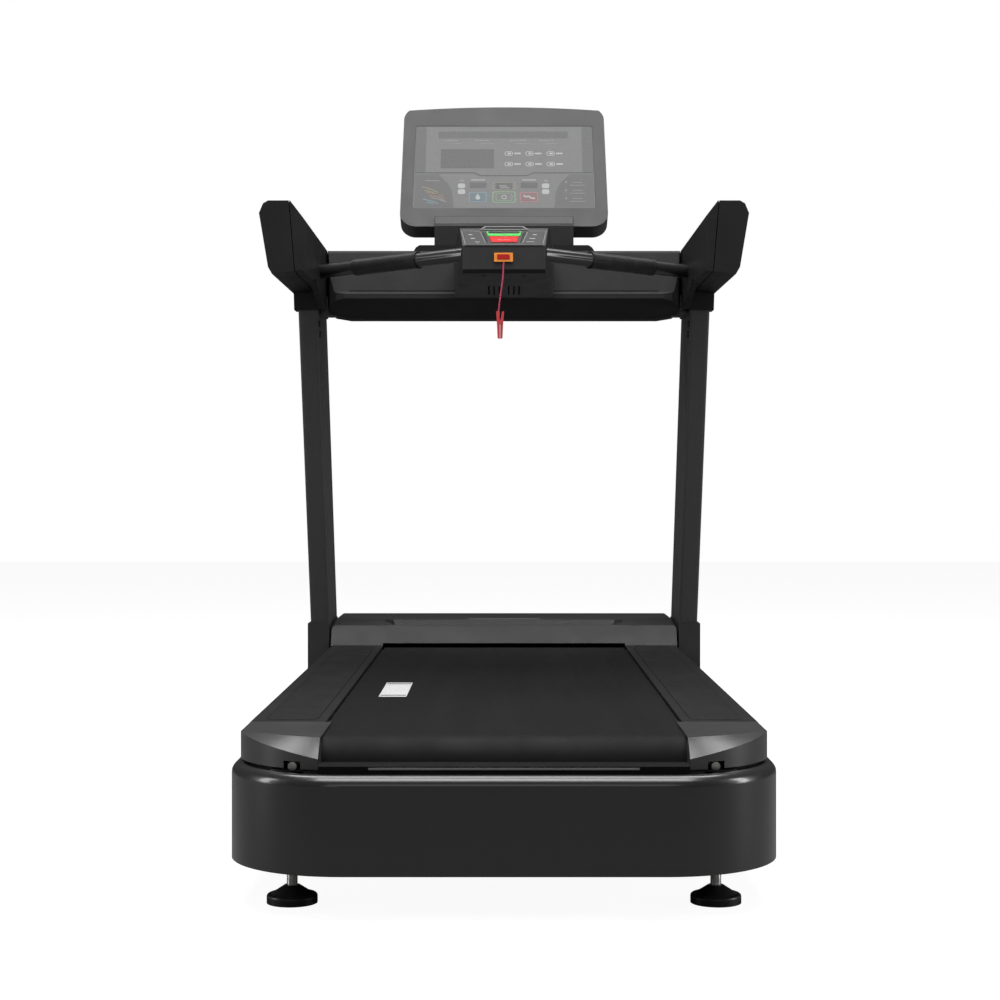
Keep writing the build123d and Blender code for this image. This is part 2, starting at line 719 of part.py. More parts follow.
def button_face(name, grow):
    """Outline of one key on the pod's slope, grown on every side."""
    low_half, low, high, high_half = BUTTONS[name]
    if name == "stop_button":
        low_half, high_half = high_half, low_half
    points = [(-low_half - grow, low - grow), (low_half + grow, low - grow),
              (high_half + grow, high + grow), (-high_half - grow, high + grow)]
    return pod_slope() * make_face(Polyline(*points, close=True))


def button(name):
    """One sprung key, standing a little proud of the panel."""
    normal = pod_slope().z_dir
    face = button_face(name, 0)
    return extrude(face, 2.6, dir=normal) + extrude(face, 5.0, dir=-normal)


def button_wells():
    """Wells that the two keys move in."""
    normal = pod_slope().z_dir
    wells = [extrude(button_face(name, BUTTON_GAP), 10, dir=normal)
             + extrude(button_face(name, BUTTON_GAP), 5.0 + BUTTON_TRAVEL + 0.5, dir=-normal)
             for name in BUTTONS]
    return wells[0] + wells[1]


def pod_housing():
    """Console pod that reaches out of the dashboard, with its key and lanyard socket."""
    def profile(inset):
        return [
            (POD_FRONT_Y + inset, 1077 + inset),
            (POD_FRONT_Y + inset, POD_FRONT_TOP - inset),
            (POD_RIDGE_Y, POD_RIDGE_Z - inset * 1.3),
            (205, POD_RIDGE_Z - inset * 1.3),
            (423.8, 1140 - inset),
            (398, 1066),
            (384, 1060),
            (384, 1050 + inset),
            (322, 1047 + inset),
            (74 + inset, 1070 + inset),
        ]

    def plan(inset):
        return [(-82 + inset, 40), (82 - inset, 40), (107 - inset, 330), (107 - inset, 440),
                (-107 + inset, 440), (-107 + inset, 330)]

    outer = side_prism(profile(0), (-120, 120)) & plan_prism(plan(0), (1000, 1200))
    inner = side_prism(profile(12), (-120, 120)) & plan_prism(plan(5), (1000, 1200))
    bars = rod(*bar_path(), BAR_R)
    dash = side_prism(dash_profile(0), (-DASH_HALF, DASH_HALF))
    shell = outer - inner - bars - mirrored(bars) - dash
    socket = block((-16, 14), (40, 90), (1096, 1106))
    vents = [block((x - 1.5, x + 1.5), (205, 300), (1040, 1075))
             for x in (-32, -21, -10, 10, 21, 32)]
    for vent in vents:
        shell = shell - vent
    return shell - socket - panel_plate(0.2) - button_wells()


def panel_plate(grow):
    """Solid of the key panel, grown sideways by grow."""
    low_half, high_half = 77 + grow, 86 + grow
    points = [(-low_half, 5 - grow), (low_half, 5 - grow), (high_half, 94 + grow),
              (-high_half, 94 + grow)]
    plane = pod_slope()
    face = plane * make_face(Polyline(*points, close=True))
    return extrude(face, 1.0, dir=plane.z_dir) + extrude(face, 2.0, dir=-plane.z_dir)


def pod_panel():
    """Key panel let into the pod's slope."""
    return panel_plate(0) - button_wells()


def console_tray():
    """Raised block on the dashboard that the display's neck stands on."""
    outline = [(-201, DASH_TOP), (-196, 1169), (-188, 1174), (188, 1174), (196, 1169),
               (201, DASH_TOP)]
    return front_prism(outline, (440, 548))


def display_plane():
    """Plane of the display's face: X to the right, Y up the screen, Z towards the user."""
    y, z = DISPLAY_FOOT
    lean = DISPLAY_LEAN
    return Plane(origin=(0, y, z), x_dir=(1, 0, 0), z_dir=(0, -math.cos(lean), math.sin(lean)))


def display_slab(width, low, high, corner, near, far, crowned=False):
    """Rounded slab parallel to the display's face, between two depths behind it."""
    plane = display_plane()
    half_low, half_high = (width / 2 + DISPLAY_FLARE * (0.5 - v / DISPLAY_HEIGHT)
                           for v in (low, high))
    face = make_face(Polyline((-half_low, low), (half_low, low), (half_high, high),
                              (-half_high, high), close=True))
    face = fillet(face.vertices(), corner)
    if crowned:
        face = face & (Pos(0, high - CROWN_R) * Circle(CROWN_R))
    slab = extrude(Pos(0, 0, -far) * face, far - near)
    return plane * slab


def display_back():
    """Rear tub of the display."""
    corner, height = DISPLAY_CORNER, DISPLAY_HEIGHT
    tub = display_slab(DISPLAY_WIDTH, 0, height, corner, BEZEL_DEPTH, DISPLAY_DEPTH, crowned=True)
    hollow = display_slab(DISPLAY_WIDTH - 8, 4, height - 4, corner - 4, 0, DISPLAY_DEPTH - 4,
                          crowned=True)
    return tub - hollow


def display_bezel():
    """Front frame of the display."""
    frame = display_slab(DISPLAY_WIDTH, 0, DISPLAY_HEIGHT, DISPLAY_CORNER, 0, BEZEL_DEPTH,
                         crowned=True)
    return frame - display_slab(2 * SCREEN_HALF, *SCREEN_SPAN, 6, -5, BEZEL_DEPTH + 4)


def display_screen():
    """Printed screen set in the frame."""
    gap = 0.3
    low, high = SCREEN_SPAN
    return display_slab(2 * (SCREEN_HALF - gap), low + gap, high - gap, 5.7, 1, BEZEL_DEPTH)


def control_board():
    """Circuit board behind the screen, on a spacer from the tub."""
    spacer = display_slab(60, 80, 110, 3, 16, DISPLAY_DEPTH - 4.1)
    return display_slab(380, 60, 270, 4, 14, 16) + spacer


def display_point(up, depth):
    """Y and Z of a point up the display's face, at a depth behind it."""
    y, z = DISPLAY_FOOT
    lean = DISPLAY_LEAN
    return (y + up * math.sin(lean) + depth * math.cos(lean),
            z + up * math.cos(lean) - depth * math.sin(lean))


def display_neck():
    """Short column under the display, with a lip over its lower edge and a back plate."""
    gap = 0.4
    lip, back = 8.0, DISPLAY_DEPTH + 14
    outline = [
        (472, 1174),
        display_point(-4, -lip),
        display_point(22, -lip),
        display_point(22, -gap),
        display_point(-gap, -gap),
        display_point(-gap, DISPLAY_DEPTH + gap),
        display_point(120, DISPLAY_DEPTH + gap),
        display_point(120, back),
        display_point(0, back + 6),
        (548, 1174),
    ]
    return side_prism(outline, (-NECK_HALF, NECK_HALF))


def safety_key():
    """Safety key: a framed cap on the pod's face and a blade in its socket."""
    cap = block((-20, 18), (POD_FRONT_Y - 4.2, POD_FRONT_Y - 0.2), (1092, 1110))
    blade = block((-15.6, 13.6), (POD_FRONT_Y - 0.2, 86), (1096.4, 1105.6))
    return cap + blade


LANYARD_R = 1.5
LANYARD_ROUTE = [(-1, 57.8, 1092), (-1.6, 57.0, 1068), (-4.6, 57.6, 1041), (-8.6, 57.0, 1016),
                 (-11.0, 56.0, 991)]


def turn_radii(points):
    """Largest tidy arc at each inner point: 0.45 of the shorter run over tan(half turn)."""
    radii = []
    for before, here, after in zip(points, points[1:], points[2:]):
        one = Vector(*here) - Vector(*before)
        two = Vector(*after) - Vector(*here)
        half_turn = math.radians(one.get_angle(two)) / 2
        radii.append(0.45 * min(one.length, two.length) / math.tan(half_turn))
    return radii


def lanyard():
    """Cord from the safety key to its clip."""
    radii = turn_radii(LANYARD_ROUTE)
    path = FilletPolyline(*LANYARD_ROUTE, radius=radii)
    start = Plane(origin=path @ 0, z_dir=path % 0)
    tube = sweep(start * Circle(LANYARD_R), path=path)
    expected = math.pi * LANYARD_R ** 2 * path.length
    print("lanyard radii", [round(r) for r in radii], "length", round(path.length, 1),
          "volume ratio", round(tube.volume / expected, 4))
    return tube


CLIP_PIVOT = (-5.0, 970.0)      # X, Z of the clip's pin
CLIP_Y = (51.5, 58.5)


def lanyard_clip():
    """Fixed half of the clip: an ear that the cord ends on, a jaw, and the pin's cheeks."""
    half = front_prism([(-16, 991), (-9, 991), (-9, 970), (-8.3, 968), (-8.3, 936), (-13, 937),
                        (-14.5, 968)], (50, 60))
    cheek_outline = [(-12, 974), (-2, 974), (-2, 966), (-12, 966)]
    cheeks = front_prism(cheek_outline, (50, 51.2)) + front_prism(cheek_outline, (58.8, 60))
    x, z = CLIP_PIVOT
    pin = rod((x, 50, z), (x, 60, z), 1.5)
    return half + cheeks + pin


def clip_jaw():
    """Sprung half of the clip, which turns on the pin."""
    half = front_prism([(-4, 991), (0.5, 991), (-1.5, 970), (-3, 937), (-7.7, 936), (-7.7, 969),
                        (-7, 974)], CLIP_Y)
    x, z = CLIP_PIVOT
    return half - rod((x, 40, z), (x, 70, z), 1.5 + RUN_FIT)


def frame_bolts():
    """Button-headed bolts: uprights to crossbar, and uprights to the base's outriggers."""
    face = UPRIGHT_X[0]
    top = [bar_x((face - 4, face), y, z, 7) for y, z in ((432, 998), (446, 976))]
    return group(both_sides(*top, *foot_bolts()))


# ---- write one STEP for each sub-part ----
def build():
    """Every sub-part of the treadmill, by name."""
    parts = {
        "base_frame": base_frame(),
        "skirt_rear": skirt_part((REAR_Y - 1, COVER_REAR_Y - 0.5)),
        "skirt_front": skirt_part((967, FRONT_Y + 1)) - block((150, 200), (990, 1030), (110, 145)),
        "power_inlet": power_inlet(),
        "lift_motor": lift_motor(),
        "lift_frame": lift_frame(),
        "lift_screw": lift_screw(),
        "hinge_pins": hinge_pins(),
        "frame_bolts": frame_bolts(),
        "crossbar": crossbar(),
        "dashboard_cover": dash_half((300, DASH_SPLIT_Y)),
        "dashboard_back": dash_half((DASH_SPLIT_Y, 700)),
        "console_tray": console_tray(),
        "pod_housing": pod_housing(),
        "pod_panel": pod_panel(),
        "start_button": button("start_button"),
        "stop_button": button("stop_button"),
        "display_neck": display_neck(),
        "display_back": display_back(),
        "display_bezel": display_bezel(),
        "display_screen": display_screen(),
        "control_board": control_board(),
        "safety_key": safety_key(),
        "lanyard": lanyard(),
        "lanyard_clip": lanyard_clip(),
        "clip_jaw": clip_jaw(),
        "deck_frame": deck_frame(),
        "running_board": running_board(),
        "deck_cushions": deck_cushions(),
        "running_belt": running_belt(),
        "rear_bumper": rear_bumper(),
        "motor_hood": motor_hood(),
        "drive_motor": drive_motor(),
        "motor_flywheel": motor_flywheel(),
        "drive_belt": drive_belt(),
        "motor_controller": motor_controller(),
        "front_roller": roller(FRONT_ROLLER_Y, True),
        "rear_roller": roller(REAR_ROLLER_Y, False),
        "roller_axles": roller_axles(),
        "tension_bolts": tension_bolts(),
    }
    pairs = {
        "upright": upright(),
        "foot_cover": foot_cover(),
        "wing_outer": wing_outer(),
        "wing_inner": wing_inner(),
        "handlebar": handlebar(),
        "grip": grip(),
        "side_rail": side_rail(),
        "end_cap": end_cap(),
    }
    for name, shape in pairs.items():
        parts[name + "_right"] = shape
        parts[name + "_left"] = mirrored(shape)
    parts.update(feet())
    return parts


os.makedirs("parts", exist_ok=True)
for node, shape in build().items():
    export_step(shape, "parts/" + node + ".step")
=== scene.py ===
import json
import math

import bpy
from mathutils import Matrix, Vector
from mathutils.bvhtree import BVHTree


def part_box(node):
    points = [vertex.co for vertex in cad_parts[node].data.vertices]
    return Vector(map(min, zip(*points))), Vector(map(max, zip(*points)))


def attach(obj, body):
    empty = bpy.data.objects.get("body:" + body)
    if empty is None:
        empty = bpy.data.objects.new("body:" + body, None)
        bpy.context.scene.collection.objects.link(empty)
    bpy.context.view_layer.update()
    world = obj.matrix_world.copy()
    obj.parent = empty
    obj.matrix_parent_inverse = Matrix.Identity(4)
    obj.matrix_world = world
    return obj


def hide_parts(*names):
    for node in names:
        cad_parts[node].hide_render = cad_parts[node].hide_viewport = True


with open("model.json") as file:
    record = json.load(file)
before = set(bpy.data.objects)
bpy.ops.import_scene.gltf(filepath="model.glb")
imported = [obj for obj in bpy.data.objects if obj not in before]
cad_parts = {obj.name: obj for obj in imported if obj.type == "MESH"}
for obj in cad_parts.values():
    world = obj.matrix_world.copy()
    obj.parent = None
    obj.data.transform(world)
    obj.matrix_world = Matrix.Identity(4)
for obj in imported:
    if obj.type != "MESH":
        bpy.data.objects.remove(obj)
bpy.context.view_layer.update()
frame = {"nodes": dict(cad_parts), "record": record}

# A motorised treadmill, in metres: +X to the user's right, +Y forward, +Z up.
# The CAD nodes are the frame; what follows gives them materials and adds the fine pieces.

MM = 0.001


# ---------------------------------------------------------------- camera, light, stage
FOCAL = 1896 / 1000             # focal length over the frame's width
CAMERA_AT = (0.0, -3.78, 0.64)
LENS_SHIFT = (-0.004, -0.015)   # across and up, as parts of the frame's width
SENSOR = 36.0


def make_camera():
    """Level camera behind the treadmill, looking forward along the deck."""
    data = bpy.data.cameras.new("camera")
    data.sensor_width = SENSOR
    data.lens = FOCAL * SENSOR
    data.shift_x, data.shift_y = LENS_SHIFT
    camera = bpy.data.objects.new("camera", data)
    camera.location = CAMERA_AT
    camera.rotation_euler = (math.radians(90), 0, 0)
    bpy.context.scene.collection.objects.link(camera)
    bpy.context.scene.camera = camera


def area_light(name, at, target, size, power):
    """Rectangular softbox aimed at a point."""
    data = bpy.data.lights.new(name, "AREA")
    data.shape = "RECTANGLE"
    data.size, data.size_y = size
    data.energy = power
    light = bpy.data.objects.new(name, data)
    light.location = at
    aim = Vector(target) - Vector(at)
    light.rotation_euler = aim.to_track_quat("-Z", "Y").to_euler()
    bpy.context.scene.collection.objects.link(light)


LIGHTS = {                      # position, aim, width and height in metres, power in watts
    "top_box": ((0, 1.2, 4.6), (0, 0.4, 0.3), (4.6, 1.8), 150),
    "tail_box": ((0, -1.3, 4.6), (0, -0.9, 0.3), (3.6, 1.0), 110),
    "back_box": ((0, -2.7, 4.6), (0, 0.2, 0.8), (4.4, 1.2), 118),
    "low_box": ((0, -5.5, 1.6), (0, 0.0, 0.6), (3.0, 1.2), 12),
    "left_strip": ((-4.4, -1.2, 1.5), (0, -0.2, 0.6), (1.0, 2.8), 62),
    "right_strip": ((4.4, -1.2, 1.5), (0, -0.2, 0.6), (1.0, 2.8), 82),
}


def make_lights():
    """Three softboxes overhead, a weak low one by the camera, and upright strips at the sides."""
    for name, (at, target, size, power) in LIGHTS.items():
        area_light(name, at, target, size, power)


SKY_SEEN = 1.0                  # the backdrop's brightness
SKY_LIGHT = 0.05                # the light that it adds to the object
FLOOR_SEEN = 0.94               # the floor's own brightness to the camera
FLOOR_LIGHT = 0.16              # its albedo, low so that the object's underside stays dark


STAGE_HALF = 12.0               # half of the floor's side


def split_by_camera(tree, unseen, seen, surface):
    """Sends one shader to the camera and another to the light that reaches the object."""
    path = tree.nodes.new("ShaderNodeLightPath")
    blend = tree.nodes.new("ShaderNodeMixShader")
    tree.links.new(path.outputs["Is Camera Ray"], blend.inputs["Fac"])
    tree.links.new(unseen.outputs[0], blend.inputs[1])
    tree.links.new(seen.outputs[0], blend.inputs[2])
    tree.links.new(blend.outputs[0], surface)


def make_sky():
    """Plain backdrop that lights the object less than it is seen."""
    world = bpy.data.worlds.new("studio")
    world.use_nodes = True
    tree = world.node_tree
    seen = tree.nodes["Background"]
    seen.inputs["Color"].default_value = (1, 1, 1, 1)
    seen.inputs["Strength"].default_value = SKY_SEEN
    light = tree.nodes.new("ShaderNodeBackground")
    light.inputs["Color"].default_value = (1, 1, 1, 1)
    light.inputs["Strength"].default_value = SKY_LIGHT
    split_by_camera(tree, light, seen, tree.nodes["World Output"].inputs["Surface"])
    bpy.context.scene.world = world


def floor_material():
    """Dark matt floor that reads as white to the camera."""
    floor_mat = bpy.data.materials.new("stage_floor")
    floor_mat.use_nodes = True
    tree = floor_mat.node_tree
    lit = tree.nodes.new("ShaderNodeBsdfDiffuse")
    lit.inputs["Color"].default_value = (FLOOR_LIGHT, FLOOR_LIGHT, FLOOR_LIGHT, 1)
    plain = tree.nodes.new("ShaderNodeEmission")
    plain.inputs["Strength"].default_value = FLOOR_SEEN
    shade = tree.nodes.new("ShaderNodeAddShader")
    tree.links.new(lit.outputs[0], shade.inputs[0])
    tree.links.new(plain.outputs[0], shade.inputs[1])
    split_by_camera(tree, lit, shade, tree.nodes["Material Output"].inputs["Surface"])
    return floor_mat


def make_floor():
    """Level floor under the feet."""
    mesh = bpy.data.meshes.new("stage_floor")
    half = STAGE_HALF
    mesh.from_pydata([(-half, -half, 0), (half, -half, 0), (half, half, 0), (-half, half, 0)],
                     [], [(0, 1, 2, 3)])
    mesh.materials.append(floor_material())
    floor = bpy.data.objects.new("stage_floor", mesh)
    bpy.context.scene.collection.objects.link(floor)


bpy.context.scene.view_settings.view_transform = "Standard"
make_camera()
make_lights()
make_sky()
make_floor()


# ---------------------------------------------------------------- the safety cord
CORD_DIAMETER = 3.0 * MM
CORD_ROUTE = [(-1.0, 57.8, 1092), (-1.6, 57.0, 1068), (-4.6, 57.6, 1041), (-8.6, 57.0, 1016),
              (-11.0, 56.0, 991)]


def make_cord():
    """Limp cord from the safety key down to its clip: one smooth spline on part.py's route."""
    data = bpy.data.curves.new("safety_cord", "CURVE")
    data.dimensions = "3D"
    data.bevel_depth = 1.0          # so that each point's radius is the cord's own, in metres
    data.bevel_resolution = 3
    spline = data.splines.new("NURBS")
    spline.points.add(len(CORD_ROUTE) - 1)
    for point, at in zip(spline.points, CORD_ROUTE):
        point.co = (*(v * MM for v in at), 1)
        point.radius = CORD_DIAMETER / 2
    spline.order_u = 3
    spline.use_endpoint_u = True
    spline.resolution_u = 12
    cord = bpy.data.objects.new("safety_cord", data)
    bpy.context.scene.collection.objects.link(cord)
    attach(cord, "safety_key")
    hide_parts("lanyard")
    return cord


safety_cord = make_cord()


# ---------------------------------------------------------------- material helpers
MIX_FACTOR, MIX_FIRST, MIX_SECOND = 0, 6, 7     # a colour Mix node's factor and its two colours
BANDS_PER_UNIT = 3.2                            # of a Wave node at scale 1


class Mat:
    """A principled material with procedural layers, in object space, in metres."""

    def __init__(self, name, colour, rough, metallic=0.0, specular=0.5, coat=0.0, coat_rough=0.1):
        self.mat = bpy.data.materials.new(name)
        self.mat.use_nodes = True
        self.tree = self.mat.node_tree
        self.shader = self.tree.nodes["Principled BSDF"]
        self.shader.inputs["Base Color"].default_value = (*colour, 1)
        self.shader.inputs["Roughness"].default_value = rough
        self.shader.inputs["Metallic"].default_value = metallic
        self.shader.inputs["Specular IOR Level"].default_value = specular
        self.shader.inputs["Coat Weight"].default_value = coat
        self.shader.inputs["Coat Roughness"].default_value = coat_rough
        self.coords = self.add("ShaderNodeTexCoord").outputs["Object"]
        self.colour = None
        self.bump = None

    def add(self, kind, **settings):
        """New node with settings and input values by name."""
        node = self.tree.nodes.new(kind)
        for name, value in settings.items():
            if hasattr(node, name):
                setattr(node, name, value)
            else:
                node.inputs[name.replace("_", " ")].default_value = value
        return node

    def link(self, source, target):
        """Join two sockets."""
        self.tree.links.new(source, target)

    def scaled(self, stretch):
        """Object coordinates, stretched along each axis."""
        node = self.add("ShaderNodeMapping")
        node.inputs["Scale"].default_value = stretch
        self.link(self.coords, node.inputs["Vector"])
        return node.outputs["Vector"]

    def noise(self, size, detail=3.0, stretch=(1, 1, 1)):
        """Noise whose features are about size metres across."""
        node = self.add("ShaderNodeTexNoise", Scale=1.0 / size, Detail=detail)
        self.link(self.scaled(stretch), node.inputs["Vector"])
        return node.outputs["Fac"]

    def cells(self, size, stretch=(1, 1, 1)):
        """Rounded cells about size metres across."""
        node = self.add("ShaderNodeTexVoronoi", Scale=1.0 / size)
        self.link(self.scaled(stretch), node.inputs["Vector"])
        return node.outputs["Distance"]

    def remap(self, value, low, high, new_low, new_high):
        """Value stretched from one range to another."""
        node = self.add("ShaderNodeMapRange")
        for name, number in (("From Min", low), ("From Max", high),
                             ("To Min", new_low), ("To Max", new_high)):
            node.inputs[name].default_value = number
        self.link(value, node.inputs["Value"])
        return node.outputs["Result"]

    def vary_colour(self, mask, other, low=0.4, high=0.65):
        """Blends the base colour towards another where the mask is high."""
        node = self.add("ShaderNodeMix", data_type="RGBA")
        self.link(self.remap(mask, low, high, 0, 1), node.inputs[MIX_FACTOR])
        if self.colour is None:
            base = self.shader.inputs["Base Color"].default_value
            node.inputs[MIX_FIRST].default_value = base
        else:
            self.link(self.colour, node.inputs[MIX_FIRST])
        node.inputs[MIX_SECOND].default_value = (*other, 1)
        self.colour = node.outputs[2]
        self.link(self.colour, self.shader.inputs["Base Color"])
        return self

    def vary_rough(self, mask, low, high):
        """Roughness between two values by the mask."""
        self.link(self.remap(mask, 0.3, 0.7, low, high), self.shader.inputs["Roughness"])
        return self

    def add_bump(self, height, depth, strength=1.0):
        """Adds one layer of bump, depth metres high."""
        node = self.add("ShaderNodeBump", Strength=strength, Distance=depth)
        self.link(height, node.inputs["Height"])
        if self.bump is not None:
            self.link(self.bump, node.inputs["Normal"])
        self.bump = node.outputs["Normal"]
        self.link(self.bump, self.shader.inputs["Normal"])
        return self

    def height_mask(self, z, soft):
        """0 below a height of the object, 1 above it."""
        split = self.add("ShaderNodeSeparateXYZ")
        self.link(self.coords, split.inputs[0])
        return self.remap(split.outputs["Z"], z - soft, z + soft, 0, 1)


def moulded(name, colour, rough, grain=0.0012, depth=0.00006, specular=0.5, coat=0.0,
            coat_rough=0.25):
    """Moulded plastic: a fine spark-eroded grain, faint clouding and handling marks."""
    m = Mat(name, colour, rough, specular=specular, coat=coat, coat_rough=coat_rough)
    lighter = tuple(min(1, c * 1.35 + 0.004) for c in colour)
    m.vary_colour(m.noise(0.09, 4), lighter, 0.5, 1.0)
    m.vary_rough(m.noise(0.035, 5), rough - 0.03, rough + 0.05)
    m.add_bump(m.cells(grain), depth, 0.5)
    return m.mat


def painted(name, colour, rough):
    """Powder coat: orange peel, dust specks and slightly varied gloss."""
    m = Mat(name, colour, rough, specular=0.5)
    lighter = tuple(min(1, c * 1.5 + 0.006) for c in colour)
    m.vary_colour(m.noise(0.0025, 2), lighter, 0.62, 0.8)
    m.vary_rough(m.noise(0.05, 4), rough - 0.06, rough + 0.08)
    m.add_bump(m.noise(0.0016, 3), 0.00012, 0.5)
    return m.mat


def lacquered(name, colour):
    """Gloss lacquer with long soft changes of gloss and a very fine texture."""
    m = Mat(name, colour, 0.3, coat=0.55, coat_rough=0.13)
    m.vary_rough(m.noise(0.2, 1), 0.28, 0.33)
    m.add_bump(m.noise(0.0012, 2), 0.000004, 0.2)
    return m.mat


def tread_material():
    """Non-slip tread: a coarse pebble grain with long, faintly lighter patches."""
    m = Mat("tread", (0.0085, 0.0085, 0.0088), 0.62, specular=0.22)
    m.vary_colour(m.noise(0.05, 4, (1, 0.3, 1)), (0.0125, 0.0125, 0.0128), 0.45, 0.8)
    m.vary_rough(m.noise(0.04, 4), 0.52, 0.68)
    m.add_bump(m.cells(0.0022), 0.0003, 0.7)
    return m.mat


def glossy(name, colour, rough=0.22, coat=0.4):
    """Polished or coated plastic with faint swirl marks."""
    m = Mat(name, colour, rough, coat=coat, coat_rough=0.08)
    m.vary_rough(m.noise(0.02, 6, (1, 5, 1)), rough - 0.05, rough + 0.1)
    m.add_bump(m.noise(0.05, 2), 0.0002, 0.2)
    m.add_bump(m.noise(0.0008, 2), 0.00001, 0.3)
    return m.mat


def metal(name, colour, rough, grain=(1, 1, 40)):
    """Turned or brushed metal with fine lines."""
    m = Mat(name, colour, rough, metallic=1.0)
    darker = tuple(c * 0.6 for c in colour)
    m.vary_colour(m.noise(0.015, 5), darker, 0.5, 0.8)
    m.vary_rough(m.noise(0.004, 4, grain), rough - 0.08, rough + 0.12)
    m.add_bump(m.noise(0.002, 3, grain), 0.00004, 0.5)
    return m.mat


def rubber(name, colour, rough=0.7, depth=0.0001):
    """Moulded rubber with a matt pebble grain."""
    m = Mat(name, colour, rough, specular=0.35)
    m.vary_colour(m.noise(0.03, 5), tuple(c * 1.6 + 0.003 for c in colour), 0.5, 0.8)
    m.vary_rough(m.noise(0.012, 4), rough - 0.08, rough + 0.1)
    m.add_bump(m.cells(0.0009), depth, 0.8)
    return m.mat


def belt_material():
    """Running belt: a fine diamond weave with long, faint wear tracks."""
    m = Mat("belt_rubber", (0.0095, 0.0095, 0.0098), 0.75, specular=0.09)
    tracks = m.noise(0.05, 3, (1, 0.05, 1))
    m.vary_colour(tracks, (0.0125, 0.0125, 0.0128), 0.45, 0.9)
    m.vary_rough(m.noise(0.08, 4, (1, 0.2, 1)), 0.52, 0.68)
    m.add_bump(diamond_weave(m, 0.0032), 0.00012, 0.7)
    return m.mat


def diamond_weave(m, pitch):
    """Height field of two sets of crossed diagonal ridges."""
    heights = []
    for turn in (45, -45):
        place = m.add("ShaderNodeMapping")
        place.inputs["Rotation"].default_value = (0, 0, math.radians(turn))
        m.link(m.coords, place.inputs["Vector"])
        wave = m.add("ShaderNodeTexWave", bands_direction="X", wave_profile="SIN")
        wave.inputs["Scale"].default_value = 1 / pitch / BANDS_PER_UNIT
        m.link(place.outputs["Vector"], wave.inputs["Vector"])
        heights.append(wave.outputs["Fac"])
    both = m.add("ShaderNodeMath", operation="MAXIMUM")
    m.link(heights[0], both.inputs[0])
    m.link(heights[1], both.inputs[1])
    return both.outputs["Value"]


def board_material():
    """Phenolic-faced board: wood grain along the deck under a waxy film."""
    m = Mat("deck_wood", (0.010, 0.009, 0.008), 0.4)
    m.vary_colour(m.noise(0.01, 6, (4, 0.2, 4)), (0.022, 0.017, 0.013), 0.4, 0.65)
    m.vary_rough(m.noise(0.03, 4), 0.32, 0.5)
    m.add_bump(m.noise(0.004, 4, (4, 0.2, 4)), 0.0001, 0.4)
    return m.mat


def cord_material():
    """Woven cord: red with paler strands, and small cells of bump for the weave."""
    m = Mat("cord_red", (0.42, 0.03, 0.07), 0.6)
    m.vary_colour(m.noise(0.004, 3), (0.62, 0.08, 0.16), 0.4, 0.7)
    m.vary_rough(m.noise(0.003, 3), 0.5, 0.7)
    m.add_bump(m.cells(0.0007, (1, 1, 0.5)), 0.0002, 0.8)
    return m.mat


def foot_material():
    """Levelling foot: black coated pad below, bright threaded stud above."""
    m = Mat("foot_black", (0.016, 0.016, 0.017), 0.42)
    above = m.height_mask(0.0275, 0.0004)
    m.vary_colour(above, (0.62, 0.61, 0.60), 0.2, 0.8)
    m.link(above, m.shader.inputs["Metallic"])
    m.vary_rough(m.noise(0.004, 4), 0.3, 0.45)
    m.add_bump(m.noise(0.0015, 3), 0.00008, 0.5)
    return m.mat


def circuit_material():
    """Circuit board: solder mask with copper tracks under it."""
    m = Mat("board", (0.01, 0.10, 0.045), 0.35)
    m.vary_colour(m.cells(0.006, (1, 3, 1)), (0.02, 0.17, 0.08), 0.3, 0.5)
    m.add_bump(m.cells(0.006, (1, 3, 1)), 0.00005, 0.5)
    return m.mat


def printed(name, colour, rough=0.42, specular=0.22):
    """Screen-printed ink with a slightly uneven film, also used for marks of painted shade and
    painted highlight.
    """
    m = Mat(name, colour, rough, specular=specular)
    m.vary_colour(m.noise(0.004, 3), tuple(c * 0.85 for c in colour), 0.45, 0.8)
    m.vary_rough(m.noise(0.003, 2), rough - 0.05, rough + 0.08)
    m.add_bump(m.noise(0.0006, 2), 0.00001, 0.4)
    return m.mat


